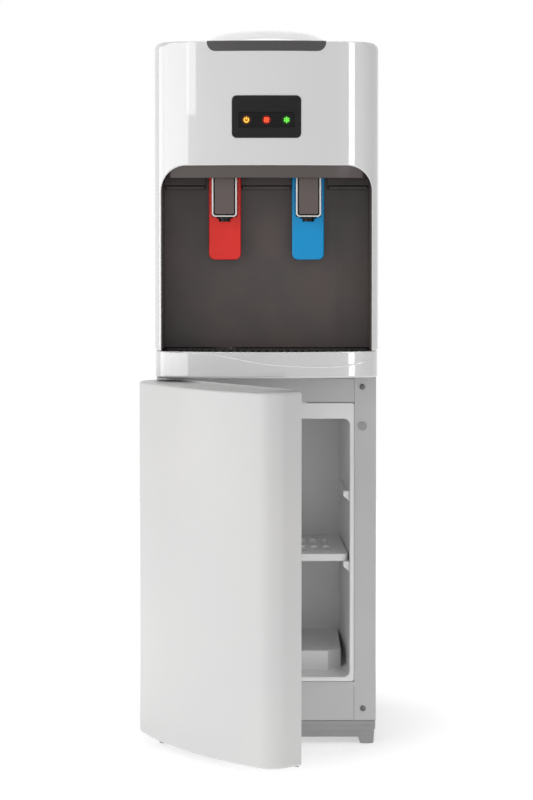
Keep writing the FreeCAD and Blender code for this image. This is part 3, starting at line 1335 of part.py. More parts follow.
def make_switches():
    """Two rocker switches: housings in the back panel and rockers that tilt in them."""
    housings = []
    face = "cabinet_depth / 2 + 1.3"
    for index, z in enumerate(SWITCH_HEIGHTS):
        case = block(f"switch_case_{index}", ("82.8", "97.2"), ("100", face),
                     (f"{z} - 10.2", f"{z} + 10.2"))
        bezel = block(f"switch_bezel_{index}", ("80.5", "99.5"), (face, f"{face} + 2"),
                      (f"{z} - 13", f"{z} + 13"))
        well = block(f"switch_well_{index}", ("84", "96"), ("108", f"{face} + 5"),
                     (f"{z} - 9.2", f"{z} + 9.2"))
        pivot = rod(f"switch_pivot_{index}", "1.2 + running_gap", ("82", ROCKER_AXIS, z), "16", RIGHTWARD)
        solid = fused(f"switch_solid_{index}", case, bezel)
        housings.append(cut(f"switch_housing_{index}", solid, well, pivot))
    keep(grouped("both_housings", *housings), "switch_housings")
    for label, z in zip(("hot_switch_rocker", "cold_switch_rocker"), SWITCH_HEIGHTS):
        rocker = body_named(label)
        side = sketch_on(rocker, "YZ_Plane", "side", "84.3")
        polygon(side, [("115", f"{z} - 7.9"), ("124.4", f"{z} - 7.9"), ("123.2", str(z)),
                       ("124.4", f"{z} + 7.9"), ("115", f"{z} + 7.9")])
        pad(rocker, side, "11.4")
        pins = sketch_on(rocker, "YZ_Plane", "pins", "83")
        circle(pins, ROCKER_AXIS, z, "1.2")
        pad(rocker, pins, "14")
        rocker.Placement = FreeCAD.Placement(
            FreeCAD.Vector(), FreeCAD.Rotation(RIGHTWARD, -ROCKER_TILT),
            FreeCAD.Vector(0, float(ROCKER_AXIS), z))


def build_everything():
    make_base()
    make_side_panel("left_side_panel", -1)
    make_side_panel("right_side_panel", 1)
    make_rails()
    make_back_panel()
    make_screws()
    make_plugs()
    make_liner()
    make_shelf()
    make_door()
    make_door_inner()
    make_gasket()
    make_hinge_brackets()
    make_front_cover()
    make_control_panel()
    make_top_cover()
    make_collar()
    make_recess()
    make_fascia()
    make_tray_band()
    make_deck()
    make_tray()
    make_grille()
    for side, name in ((-1, "hot"), (1, "cold")):
        make_tap(f"{name}_tap_body", side)
        make_paddle(f"{name}_paddle", side)
        make_stem(f"{name}_valve_stem", side)
        make_spring(f"{name}_valve_spring", side)
    make_tap_fronts()
    make_paddle_pins()
    make_cold_tank()
    make_cooler()
    make_fan_rotor()
    make_hot_tank()
    make_thermostats()
    make_power_board()
    make_tank_shelf()
    make_tubes()
    make_drain()
    make_gland()
    make_switches()


build_everything()
doc.recompute()

failed = [item.Name for item in doc.Objects if {"Invalid", "Error"} & set(item.State)]
if failed:
    raise RuntimeError(f"objects that failed to build: {failed}")
for label, item in nodes.items():
    if item.Shape.isNull() or not item.Shape.isValid() or not item.Shape.Solids:
        raise RuntimeError(f"{label} has no valid solid")

os.makedirs("parts", exist_ok=True)
for label, item in nodes.items():
    item.Shape.exportStep(f"parts/{label}.step")
print(f"{len(nodes)} pieces written")
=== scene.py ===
import json
from math import asin, cos, dist, pi, radians, sin

import bpy
import numpy as np
from mathutils import Matrix, Vector
from mathutils.geometry import delaunay_2d_cdt


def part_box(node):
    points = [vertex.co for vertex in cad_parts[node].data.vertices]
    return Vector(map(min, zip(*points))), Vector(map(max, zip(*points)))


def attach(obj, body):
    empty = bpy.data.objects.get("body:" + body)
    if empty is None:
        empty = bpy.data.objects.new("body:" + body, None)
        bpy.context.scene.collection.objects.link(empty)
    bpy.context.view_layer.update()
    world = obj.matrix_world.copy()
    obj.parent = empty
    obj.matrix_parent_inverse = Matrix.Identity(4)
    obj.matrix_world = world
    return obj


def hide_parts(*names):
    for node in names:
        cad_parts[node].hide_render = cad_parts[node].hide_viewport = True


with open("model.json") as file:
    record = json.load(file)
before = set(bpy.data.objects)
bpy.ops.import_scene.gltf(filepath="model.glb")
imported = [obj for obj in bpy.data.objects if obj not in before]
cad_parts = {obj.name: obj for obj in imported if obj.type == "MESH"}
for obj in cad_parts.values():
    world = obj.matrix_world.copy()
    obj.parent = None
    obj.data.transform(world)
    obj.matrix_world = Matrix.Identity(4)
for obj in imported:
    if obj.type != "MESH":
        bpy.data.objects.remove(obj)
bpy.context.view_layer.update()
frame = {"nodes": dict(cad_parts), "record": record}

# Lengths are millimetres until a mesh is written. Lights, camera and floor are in metres.
MM = 0.001
DOOR_GAP = 4.0
QUARTER = pi / 2
UP, DOWN = Vector((0, 0, 1)), Vector((0, 0, -1))


def placed(name, data):
    """A new object in the scene."""
    made = bpy.data.objects.new(name, data)
    bpy.context.scene.collection.objects.link(made)
    return made


def span(node):
    """Low and high corner of a CAD node, in millimetres."""
    low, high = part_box(node)
    return low / MM, high / MM


# The three lights of the panel, left to right: the symbol's colour and its halo's.
INDICATORS = (
    {"symbol": (1.0, 0.42, 0.05), "halo": (0.55, 0.20, 0.01)},
    {"symbol": (1.0, 0.07, 0.02), "halo": (0.85, 0.03, 0.01)},
    {"symbol": (0.09, 0.55, 0.04), "halo": (0.04, 0.26, 0.01)},
)
HALO = 7.5  # radius of the light round each symbol


def indicator_place(step):
    """The middle of a light on the window's face; step is -1, 0 or 1 from the left."""
    low, high = span("indicator_lights")
    reach = (high.x - low.x) / 2 - (high.z - low.z) / 2
    window_low, _ = span("indicator_window")
    return Vector((step * reach, window_low.y, (low.z + high.z) / 2))


# ---------------- materials
class Finish:
    """A procedural material whose textures lie in the object's own space."""

    def __init__(self, name, colour, roughness, **sockets):
        self.material = bpy.data.materials.new(name)
        self.material.use_nodes = True
        self.tree = self.material.node_tree
        self.shader = self.tree.nodes["Principled BSDF"]
        self.colour = colour
        self.roughness = roughness
        self.normal = None
        self.place = self.add("ShaderNodeTexCoord").outputs["Object"]
        self.shader.inputs["Base Color"].default_value = (*colour, 1)
        self.shader.inputs["Roughness"].default_value = roughness
        for socket, value in sockets.items():
            self.shader.inputs[socket.replace("_", " ")].default_value = value

    def add(self, kind, operation=None, **inputs):
        """A node whose inputs are values or other nodes' outputs, named with underscores."""
        node = self.tree.nodes.new(kind)
        if operation:
            node.operation = operation
        for name, value in inputs.items():
            socket = node.inputs[name.replace("_", " ")]
            if isinstance(value, bpy.types.NodeSocket):
                self.tree.links.new(value, socket)
            else:
                socket.default_value = value
        return node

    def link(self, output, socket):
        self.tree.links.new(output, self.shader.inputs[socket])

    def noise(self, size, detail=2.0, stretch=None):
        """Noise with features of a size in millimetres, from 0 to 1."""
        place = self.place
        if stretch:
            place = self.add("ShaderNodeMapping", Vector=place, Scale=stretch).outputs[0]
        node = self.add("ShaderNodeTexNoise", Vector=place, Scale=1 / (size * MM), Detail=detail)
        return node.outputs["Fac"]

    def remap(self, value, low, high, at=(0.3, 0.7)):
        node = self.add("ShaderNodeMapRange", Value=value, To_Min=low, To_Max=high)
        node.inputs["From Min"].default_value, node.inputs["From Max"].default_value = at
        return node.outputs["Result"]

    def mottle(self, size, spread=0.0, tone=None, detail=3.0):
        """Slow drift of the colour towards another tone, or darker."""
        tone = tone or tuple(channel * (1 - spread) for channel in self.colour)
        mix = self.add("ShaderNodeMix")
        mix.data_type = "RGBA"
        mix.inputs[6].default_value = (*self.colour, 1)
        mix.inputs[7].default_value = (*tone, 1)
        self.tree.links.new(self.remap(self.noise(size, detail), 0.0, 1.0), mix.inputs[0])
        self.link(mix.outputs[2], "Base Color")
        return self

    def gloss(self, size, spread, detail=3.0, stretch=None):
        """Wear and handling: the roughness drifts either side of its value."""
        low, high = max(self.roughness - spread, 0.02), self.roughness + spread
        self.link(self.remap(self.noise(size, detail, stretch), low, high), "Roughness")
        return self

    def soft_edges(self, radius=0.4):
        """Rounds the light on the hard edges of a CAD mesh."""
        bevel = self.add("ShaderNodeBevel", Radius=radius * MM)
        bevel.samples = 4
        self.normal = bevel.outputs[0]
        self.link(self.normal, "Normal")
        return self

    def relief(self, source, height):
        """Raises the skin, by a height in millimetres where the source is 1."""
        inputs = {"Height": source, "Distance": height * MM, "Strength": 1.0}
        if self.normal:
            inputs["Normal"] = self.normal
        self.normal = self.add("ShaderNodeBump", **inputs).outputs[0]
        self.link(self.normal, "Normal")
        return self

    def bump(self, size, height, detail=2.0, stretch=None):
        """Relief with features of a size and a height in millimetres."""
        return self.relief(self.noise(size, detail, stretch), height)


def plastic(name, colour, roughness, grain=0.012, edge=0.4, **sockets):
    """Moulded plastic: fine grain, slow colour drift and uneven gloss."""
    made = Finish(name, colour, roughness, **sockets)
    made.soft_edges(edge)
    made.mottle(60, 0.035).gloss(25, 0.05)
    return made.bump(0.7, grain).material


def pearl_gloss(name, colour, roughness=0.2):
    """Polished, lacquered moulding: mirror-like, with a faint orange peel and long waves."""
    made = Finish(name, colour, roughness, IOR=1.5, Coat_Weight=1.0, Coat_Roughness=0.03, Coat_IOR=1.85)
    made.mottle(90, 0.02).gloss(40, 0.03)
    return made.bump(70, 0.02).bump(2.2, 0.0008).material


def powder_coat(name, colour):
    made = Finish(name, colour, 0.42).soft_edges(0.8)
    made.mottle(45, 0.03).gloss(8, 0.05)
    return made.bump(0.9, 0.010, detail=3).material


def brushed(name, colour, roughness, stretch=(1, 1, 0.03)):
    """Drawn or brushed metal with fine lines along one axis."""
    made = Finish(name, colour, roughness, Metallic=1.0).soft_edges(0.3)
    made.mottle(15, 0.12).gloss(1.2, 0.1, stretch=stretch)
    return made.bump(0.5, 0.006, stretch=stretch).material


def rubber(name, colour, roughness=0.6):
    made = Finish(name, colour, roughness).soft_edges(0.4)
    return made.mottle(12, 0.08).gloss(10, 0.08).bump(0.5, 0.02).material


def foam(name, colour):
    """Expanded polystyrene: packed beads."""
    made = Finish(name, colour, 0.85).soft_edges(0.8)
    made.mottle(20, 0.06)
    beads = made.add("ShaderNodeTexVoronoi", Vector=made.place, Scale=1 / (3.5 * MM))
    return made.relief(beads.outputs["Distance"], 0.4).material


def circuit(name, colour):
    """Solder mask with lighter copper tracks showing through."""
    made = Finish(name, colour, 0.3).soft_edges(0.2)
    made.mottle(4, tone=(0.10, 0.34, 0.10), detail=0.0)
    return made.gloss(6, 0.08).bump(2, 0.03).material


def glow(name, colour, strength):
    """A lit symbol, a little uneven like a light seen through a diffuser."""
    made = Finish(name, colour, 0.4, Emission_Color=(*colour, 1))
    made.mottle(1.5, 0.2)
    made.link(made.remap(made.noise(2.0), strength * 0.6, strength), "Emission Strength")
    return made.bump(0.6, 0.02).material


def smoked_window(name):
    """Black gloss window with a soft halo of light round each indicator behind it."""
    made = Finish(name, (0.002, 0.002, 0.002), 0.06, Specular_IOR_Level=0.2, Emission_Strength=1.0)
    made.gloss(20, 0.03)
    total = None
    for step, light in enumerate(INDICATORS, start=-1):
        shift = made.add("ShaderNodeVectorMath", "DISTANCE", Vector=made.place)
        shift.inputs[1].default_value = indicator_place(step) * MM
        fade = made.add("ShaderNodeMapRange", Value=shift.outputs["Value"], To_Min=1.0, To_Max=0.0)
        fade.interpolation_type = "SMOOTHERSTEP"
        fade.inputs["From Max"].default_value = HALO * MM
        tint = made.add("ShaderNodeVectorMath", "SCALE", Vector=light["halo"], Scale=fade.outputs["Result"])
        if total is None:
            total = tint.outputs[0]
            continue
        both = made.add("ShaderNodeVectorMath")
        made.tree.links.new(total, both.inputs[0])
        made.tree.links.new(tint.outputs[0], both.inputs[1])
        total = both.outputs[0]
    made.link(total, "Emission Color")
    return made.bump(30, 0.01).material


def door_satin(name):
    """Satin moulding with a slight warm cast in places."""
    made = Finish(name, (0.53, 0.532, 0.535), 0.36)
    made.mottle(220, tone=(0.56, 0.555, 0.547)).gloss(45, 0.04)
    return made.bump(90, 0.05).bump(0.8, 0.004).material


def recess_moulding(name):
    """Dark taupe moulding with a low sheen. Its lighter, warmer patches are partly a drift of its own tone
    and partly painted light, standing in for where the recess is lit.
    """
    made = Finish(name, (0.049, 0.045, 0.043), 0.36)
    # Painted light: the patches' lighter, warmer tone is the recess's colour where light falls on it.
    made.mottle(110, tone=(0.088, 0.063, 0.060), detail=4).gloss(40, 0.06)
    return made.bump(60, 0.06).bump(0.8, 0.008).material


def make_materials():
    """Every slot's material, by the slot's name."""
    made = {}

    def slot(maker, name, *look, **sockets):
        made[name] = maker(name, *look, **sockets)

    slot(pearl_gloss, "white_gloss", (0.60, 0.60, 0.60))
    slot(door_satin, "white_satin")
    slot(plastic, "liner_white", (0.80, 0.80, 0.80), 0.42, grain=0.008, edge=2.0)
    slot(powder_coat, "painted_steel", (0.51, 0.51, 0.51))
    slot(plastic, "grey_plastic", (0.32, 0.32, 0.325), 0.42)
    slot(recess_moulding, "taupe_moulding")
    slot(plastic, "taupe_gloss", (0.110, 0.083, 0.078), 0.16, grain=0.002, edge=0.3)
    slot(plastic, "graphite_trim", (0.050, 0.047, 0.047), 0.34)
    slot(plastic, "black_satin", (0.008, 0.008, 0.008), 0.34, grain=0.006, Specular_IOR_Level=0.2)
    slot(smoked_window, "smoked_window")
    slot(plastic, "light_guide", (0.8, 0.5, 0.25), 0.25)
    slot(circuit, "circuit_board", (0.02, 0.13, 0.05))
    slot(brushed, "bright_trim", (0.60, 0.585, 0.57), 0.28)
    slot(plastic, "hot_red", (0.88, 0.030, 0.022), 0.16, grain=0.002, Specular_IOR_Level=0.3)
    slot(plastic, "cold_blue", (0.0, 0.34, 0.74), 0.16, grain=0.002, Specular_IOR_Level=0.3)
    slot(plastic, "switch_green", (0.02, 0.32, 0.09), 0.3)
    slot(brushed, "stainless", (0.55, 0.55, 0.54), 0.3)
    slot(brushed, "zinc_steel", (0.17, 0.17, 0.175), 0.34, stretch=(1, 1, 1))
    slot(brushed, "heat_sink_alloy", (0.62, 0.63, 0.64), 0.36)
    slot(foam, "white_foam", (0.80, 0.79, 0.75))
    slot(plastic, "silicone", (0.58, 0.58, 0.56), 0.3, Transmission_Weight=0.35)
    slot(rubber, "grey_rubber", (0.42, 0.42, 0.42))
    slot(rubber, "black_rubber", (0.02, 0.02, 0.02))
    return made


# ---------------- mesh building
def unit(vector):
    return vector.normalized() if vector.length > 1e-12 else vector


def steps_round(ring):
    """Each item of a closed run with the one after it."""
    return zip(ring, ring[1:] + ring[:1])


class Skin:
    """A mesh under construction: points in millimetres, faces, and a normal at each corner."""

    def __init__(self):
        self.points = []
        self.faces = []
        self.normals = []

    def row(self, places):
        """Adds points and returns their numbers."""
        start = len(self.points)
        self.points += [Vector(place) for place in places]
        return list(range(start, len(self.points)))

    def face(self, corners, normals):
        """Adds a face, facing along its normals; corners that coincide are dropped."""
        kept = []
        for corner, normal in zip(corners, normals):
            if not kept or (self.points[corner] - self.points[kept[-1][0]]).length > 1e-4:
                kept.append((corner, normal))
        while len(kept) > 1 and (self.points[kept[0][0]] - self.points[kept[-1][0]]).length <= 1e-4:
            kept.pop()
        if len(kept) < 3:
            return
        places = [self.points[corner] for corner, _ in kept]
        facing = Vector()
        for here, there in steps_round(places):
            facing += here.cross(there)
        if facing.dot(sum((normal for _, normal in kept), Vector())) < 0:
            kept.reverse()
        self.faces.append([corner for corner, _ in kept])
        self.normals.append([normal for _, normal in kept])

    def strip(self, first, second, first_normals, second_normals, skip=None):
        """Quads between two closed rows of points; skip holds the steps that stay open."""
        for step in range(len(first)):
            if skip is not None and skip[step]:
                continue
            after = (step + 1) % len(first)
            corners = [(first, first_normals, step), (first, first_normals, after),
                       (second, second_normals, after), (second, second_normals, step)]
            self.face([row[i] for row, _, i in corners], [normals[i] for _, normals, i in corners])

    def flat(self, corners, normal):
        self.face(corners, [Vector(normal)] * len(corners))

    def build(self, name, finish, body, replaces=(), turn=Matrix.Identity(4), material=None):
        """Writes the mesh, welded where points coincide, and puts it on its body.

        The material is the slot's own, unless the piece has one to itself.
        """
        welded, index, places = {}, [], []
        for place in self.points:
            key = tuple(round(value, 4) for value in place)
            if key not in welded:
                welded[key] = len(places)
                places.append(place * MM)
            index.append(welded[key])
        mesh = bpy.data.meshes.new(name)
        mesh.from_pydata(places, [], [[index[i] for i in face] for face in self.faces])
        mesh.transform(turn)
        for polygon in mesh.polygons:
            polygon.use_smooth = True
        rotation = turn.to_3x3()
        mesh.normals_split_custom_set([unit(rotation @ n) for face in self.normals for n in face])
        mesh.materials.append(material or materials[finish])
        piece = placed(name, mesh)
        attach(piece, body)
        if replaces:
            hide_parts(*replaces)


def inside(points, loop):
    """Whether each point lies within a closed loop."""
    x, y = points[:, 0], points[:, 1]
    hit = np.zeros(len(points), bool)
    for (x0, y0), (x1, y1) in zip(loop, np.roll(loop, -1, axis=0)):
        if y0 == y1:
            continue
        crosses = (y0 > y) != (y1 > y)
        hit ^= crosses & (x < x0 + (y - y0) * (x1 - x0) / (y1 - y0))
    return hit


def filled(loops, columns, rows, clearance):
    """Points and triangles of a flat region: its loops first, then a grid well inside them."""
    edge = np.vstack(loops)
    grid = np.array([(u, v) for u in columns for v in rows], float).reshape(-1, 2)
    if len(grid):
        keep = inside(grid, loops[0])
        for hole in loops[1:]:
            keep &= ~inside(grid, hole)
        near = np.array([np.min(np.sum((edge - p) ** 2, axis=1)) for p in grid])
        grid = grid[keep & (near > clearance ** 2)]
    points = np.vstack([edge, grid]) if len(grid) else edge
    sides, start = [], 0
    for loop in loops:
        sides += [(start + i, start + (i + 1) % len(loop)) for i in range(len(loop))]
        start += len(loop)
    found = delaunay_2d_cdt([Vector(p) for p in points], sides, [], 0, 1e-5)
    source = [origin[0] if origin else None for origin in found[3]]
    triangles = [tuple(source[i] for i in face) for face in found[2]]
    triangles = [t for t in triangles if None not in t]
    centres = np.array([points[list(t)].mean(axis=0) for t in triangles])
    keep = inside(centres, loops[0])
    for hole in loops[1:]:
        keep &= ~inside(centres, hole)
    return points, [t for t, kept in zip(triangles, keep) if kept]


def leftward(loop):
    """At each corner of a loop, the mitred unit step towards its left."""
    ahead = np.roll(loop, -1, axis=0) - loop
    ahead /= np.linalg.norm(ahead, axis=1)[:, None]
    behind = np.roll(ahead, 1, axis=0)
    first = np.stack([-behind[:, 1], behind[:, 0]], axis=1)
    second = np.stack([-ahead[:, 1], ahead[:, 0]], axis=1)
    share = 1 + np.sum(first * second, axis=1)
    return (first + second) / share[:, None]


def sheet(skin, surface, loops, columns=(), rows=(), roll=1.0, thickness=3.0, hole_roll=0.8, sink=None,
          skip=None, clearance=1.5, steps=4):
    """A walled piece over a region of a curved surface.

    surface(u, v) is the outer face, u to the right and v up as seen from outside. The first loop
    is the region's edge and the others are holes. Each edge rolls over with its own radius, given
    once or for each corner of the first loop, and then a wall runs to the back. skip marks the
    steps of the first loop that stay open, to be joined to something else.
    Returns the first loop's points on the front and on the back.
    """
    loops = [np.array(loop, float) for loop in loops]
    for index, loop in enumerate(loops):
        following = np.roll(loop, -1, axis=0)
        area = np.sum(loop[:, 0] * following[:, 1] - following[:, 0] * loop[:, 1])
        if (area > 0) != (index == 0):
            raise ValueError("the outline runs against the clock's way round and holes with it")
    small = 0.01

    def facing(p):
        u, v = p
        across = Vector(surface(u + small, v)) - Vector(surface(u - small, v))
        rise = Vector(surface(u, v + small)) - Vector(surface(u, v - small))
        return unit(across.cross(rise))

    def sunk(p, depth, normal):
        into = Vector(sink(*p)) if sink else -normal
        return Vector(surface(*p)) + into * depth

    left = [leftward(loop) for loop in loops]
    radii = [np.zeros(len(loop)) + (roll if index == 0 else hole_roll) for index, loop in enumerate(loops)]
    inner = [loop + step * radius[:, None] for loop, step, radius in zip(loops, left, radii)]
    points, triangles = filled(inner, columns, rows, clearance)
    normals = [facing(p) for p in points]
    front = skin.row([sunk(p, 0, n) for p, n in zip(points, normals)])
    back_points = points.copy()
    back_points[:sum(map(len, loops))] = np.vstack(loops)
    back_normals = [facing(p) for p in back_points]
    back = skin.row([sunk(p, thickness, n) for p, n in zip(back_points, back_normals)])
    for a, b, c in triangles:
        skin.face([front[a], front[b], front[c]], [normals[a], normals[b], normals[c]])
        skin.face([back[a], back[b], back[c]], [-back_normals[a], -back_normals[b], -back_normals[c]])
    start = 0
    for index, (loop, step, radius) in enumerate(zip(loops, left, radii)):
        count = len(loop)
        open_steps = skip if index == 0 else None
        outward = []
        for p, toward in zip(loop, step):
            toward = toward / np.linalg.norm(toward) * small
            outward.append(unit(Vector(surface(*(p - toward))) - Vector(surface(*(p + toward)))))
        row, row_normals = front[start:start + count], normals[start:start + count]
        for ring in range(1, steps + 1):
            angle = QUARTER * ring / steps
            places, ring_normals = [], []
            for p, toward, r, out in zip(loop, step, radius, outward):
                q = p + toward * r * (1 - sin(angle))
                normal = facing(q)
                places.append(sunk(q, r * (1 - cos(angle)), normal))
                ring_normals.append(unit(normal * cos(angle) + out * sin(angle)))
            following = skin.row(places)
            skin.strip(row, following, row_normals, ring_normals, open_steps)
            row, row_normals = following, ring_normals
        skin.strip(row, back[start:start + count], outward, outward, open_steps)
        start += count
    return front[:len(loops[0])], back[:len(loops[0])]


def spaced(low, high, step):
    """Evenly spread values from low to high, about a step apart."""
    count = max(1, round(abs(high - low) / step))
    return [low + (high - low) * i / count for i in range(count + 1)]


def joined(*runs):
    """One closed outline from runs of points that share their ends."""
    outline = []
    for run in runs:
        for place in run:
            if not outline or dist(place, outline[-1]) > 1e-6:
                outline.append(tuple(place))
    if dist(outline[0], outline[-1]) <= 1e-6:
        outline.pop()
    return outline


def line(start, end, step=3.0):
    shares = spaced(0.0, 1.0, step / max(dist(start, end), step))
    return [tuple(a + (b - a) * share for a, b in zip(start, end)) for share in shares]


def arc(centre, radius, start, end, step=9.0):
    """Points of an arc between two angles in degrees."""
    return [(centre[0] + radius * cos(radians(a)), centre[1] + radius * sin(radians(a)))
            for a in spaced(start, end, step)]


def round_box(x, y, radius, step=3.0):
    """A rectangle with round corners, against the clock; the radius is one or one per corner."""
    low_left, low_right, high_right, high_left = radius if isinstance(radius, tuple) else (radius,) * 4
    (x0, x1), (y0, y1) = x, y
    corners = [
        ((x1 - low_right, y0 + low_right), low_right, -90),
        ((x1 - high_right, y1 - high_right), high_right, 0),
        ((x0 + high_left, y1 - high_left), high_left, 90),
        ((x0 + low_left, y0 + low_left), low_left, 180),
    ]
    runs = [arc(centre, bend, turn, turn + 90) for centre, bend, turn in corners]
    links = [line(run[-1], after[0], step) for run, after in steps_round(runs)]
    return joined(*[part for pair in zip(runs, links) for part in pair])


def circle(centre, radius, count=48):
    return [(centre[0] + radius * cos(2 * pi * i / count),
             centre[1] + radius * sin(2 * pi * i / count)) for i in range(count)]


def backwards(loop):
    return list(reversed(loop))


def ease(value):
    """A smooth step from 0 to 1."""
    value = min(max(value, 0.0), 1.0)
    return value * value * (3 - 2 * value)


def front_view(low, high, grow, radius, step=3.0):
    """A box seen from the front as a round-cornered outline, grown on every side."""
    return round_box((low.x - grow, high.x + grow), (low.z - grow, high.z + grow), radius, step)


def lofted(skin, rings, caps=()):
    """Quads over a stack of closed rings, shaded smooth; caps are the flat ends' normals."""
    rows = [skin.row(ring) for ring in rings]
    count, last = len(rings[0]), len(rings) - 1
    normals = []
    for level, ring in enumerate(rings):
        above, below = rings[min(level + 1, last)], rings[max(level - 1, 0)]
        level_normals = []
        for index in range(count):
            across = Vector(ring[(index + 1) % count]) - Vector(ring[index - 1])
            rise = Vector(above[index]) - Vector(below[index])
            level_normals.append(unit(across.cross(rise)))
        normals.append(level_normals)
    for level in range(last):
        skin.strip(rows[level], rows[level + 1], normals[level], normals[level + 1])
    for row, cap in zip((rows[0], rows[-1]), caps):
        skin.flat(row, cap)


def lathe(skin, centre, profile, axis, count):
    """A turned shape: the profile's points are distance from the axis and place along it."""
    def place(radius, along, angle):
        a, b = radius * cos(angle), radius * sin(angle)
        offset = {"Z": (a, b, along), "Y": (b, along, a), "X": (along, a, b)}[axis]
        return Vector(centre) + Vector(offset)

    angles = [2 * pi * i / count for i in range(count)]
    lofted(skin, [[place(r, h, angle) for angle in angles] for r, h in profile])


def curve_through(knots, per_span):
    """A smooth line through a few points in a plane."""
    knots = [np.array(k, float) for k in knots]
    padded = [2 * knots[0] - knots[1], *knots, 2 * knots[-1] - knots[-2]]
    line_points = []
    for a, b, c, d in zip(padded, padded[1:], padded[2:], padded[3:]):
        for i in range(per_span):
            t = i / per_span
            line_points.append(tuple(0.5 * (2 * b + (c - a) * t + (2 * a - 5 * b + 4 * c - d) * t ** 2
                                            + (3 * b - a - 3 * c + d) * t ** 3)))
    return line_points + [tuple(knots[-1])]


def bar(skin, x, y, z, radius):
    """A box with its edges rounded over."""
    half = [(high - low) / 2 for low, high in (x, y, z)]
    middle = Vector([(high + low) / 2 for low, high in (x, y, z)])
    radius = min(radius, min(half) * 0.98)
    around = round_box((-half[0], half[0]), (-half[1], half[1]), radius, 50)
    straight = half[2] - radius
    turns = [(turn, -straight) for turn in spaced(-90, 0, 22.5)]
    turns += [(turn, straight) for turn in spaced(0, 90, 22.5)]
    rings = []
    for turn, start in turns:
        inset = radius * (1 - cos(radians(turn)))
        level = start + radius * sin(radians(turn))
        across, deep = 1 - inset / half[0], 1 - inset / half[1]
        rings.append([middle + Vector((px * across, py * deep, level)) for px, py in around])
    lofted(skin, rings, (DOWN, UP))


# ---------------- the bowed front
class Bow:
    """The bowed front in plan: a long front arc, two round corners and straight sides.

    A place on it is a distance along the outline from the middle, positive to the right. A tail
    is the radius that turns the sides' rear edges inwards.
    """

    radius, corner = 480.0, 30.0

    def __init__(self, half, front, rear, tail=0.0):
        self.half, self.rear, self.tail = half, rear - tail, tail
        self.middle = front + self.radius
        self.lean, self.bend_x, self.bend_y = self.corner_place(0.0)
        self.arc = self.radius * self.lean
        self.turn = self.corner * (QUARTER - self.lean)
        self.side = self.arc + self.turn + self.rear - self.bend_y
        self.end = self.side + tail * QUARTER

    def corner_place(self, narrow):
        bend_x = self.half - self.corner - narrow
        lean = asin(bend_x / (self.radius - self.corner))
        return lean, bend_x, self.middle - (self.radius - self.corner) * cos(lean)

    def at(self, s, inset=0.0, narrow=0.0):
        """The point at s, moved inwards, with the sides drawn in by narrow; and its bearing."""
        lean, bend_x, bend_y = self.corner_place(narrow) if narrow else (self.lean, self.bend_x, self.bend_y)
        along = abs(s)
        if along <= self.arc:
            bearing = lean * along / self.arc
            x = self.radius * sin(bearing)
            y = self.middle - self.radius * cos(bearing)
        elif along <= self.arc + self.turn:
            bearing = lean + (QUARTER - lean) * (along - self.arc) / self.turn
            x = bend_x + self.corner * sin(bearing)
            y = bend_y - self.corner * cos(bearing)
        elif along <= self.side or not self.tail:
            bearing = QUARTER
            share = (along - self.arc - self.turn) / (self.rear - self.bend_y)
            x = bend_x + self.corner
            y = bend_y + (self.rear - bend_y) * share
        else:
            bearing = QUARTER + (along - self.side) / self.tail
            x = bend_x + self.corner - self.tail + self.tail * sin(bearing)
            y = self.rear - self.tail * cos(bearing)
        x -= inset * sin(bearing)
        y += inset * cos(bearing)
        return (x if s >= 0 else -x), y, bearing

    def along(self, x):
        """Where the outline passes a distance to the side of the middle."""
        reach = abs(x)
        if reach <= self.radius * sin(self.lean):
            s = self.radius * asin(reach / self.radius)
        else:
            bearing = asin(min((reach - self.bend_x) / self.corner, 1.0))
            s = self.arc + self.corner * (bearing - self.lean)
        return s if x >= 0 else -s

    def columns(self, step=4.0, corner_step=1.6, side_step=6.0):
        """Places along the outline, closer together round the corners."""
        right = (spaced(0, self.arc, step) + spaced(self.arc, self.arc + self.turn, corner_step)[1:]
                 + spaced(self.arc + self.turn, self.side, side_step)[1:])
        if self.tail:
            right += spaced(self.side, self.end, self.tail * QUARTER / 5)[1:]
        return [-s for s in reversed(right[1:])] + right

    def wrapped(self, loop):
        """A front-view loop laid along the outline."""
        return [(self.along(x), z) for x, z in loop]

    def outline(self, columns, levels):
        """The edge of a region that takes the bow's whole width."""
        return joined([(s, levels[0]) for s in columns], [(self.end, v) for v in levels],
                      [(s, levels[-1]) for s in reversed(columns)],
                      [(-self.end, v) for v in reversed(levels)])


class Cover(Bow):
    """The front cover's bow, with a round shoulder that ends in a lip turned further in."""

    shoulder, lip = 10.0, 2.0

    def __init__(self):
        low, high = span("front_cover")
        super().__init__(high.x, low.y, high.y)
        self.foot, self.shoulder_start = low.z, high.z - self.shoulder
        self.top = self.shoulder_start + self.shoulder * QUARTER
        self.lip_start = asin(1 - self.lip / self.shoulder)

    def face(self, proud=0.0, upright=False):
        """The outer face, lifted by a height; upright, its sides don't follow the shoulder in."""
        def surface(s, v):
            if v <= self.shoulder_start:
                return (*self.at(s, -proud)[:2], v)
            angle = (v - self.shoulder_start) / self.shoulder
            lip_angle = max(angle - self.lip_start, 0) / (QUARTER - self.lip_start) * QUARTER
            inset = self.lip * (1 - cos(lip_angle)) - proud
            narrow = self.shoulder * (1 - cos(angle))
            if upright:
                s *= self.lean / self.corner_place(narrow)[0]
            x, y, _ = self.at(s, inset, narrow)
            return x, y, self.shoulder_start + (self.shoulder + proud) * sin(angle)
        return surface


def rim(level, edge, radius):
    """Inset and height of a rounded rim: level runs past the edge along the rounding."""
    over = level - edge
    if over <= 0:
        return 0.0, level
    angle = over / radius
    return radius * (1 - cos(angle)), edge + radius * sin(angle)


def level_steps(outline, levels):
    """Which steps of an outline run along one of the levels."""
    return [any(abs(a[1] - level) < 1e-6 and abs(b[1] - level) < 1e-6 for level in levels)
            for a, b in steps_round(outline)]


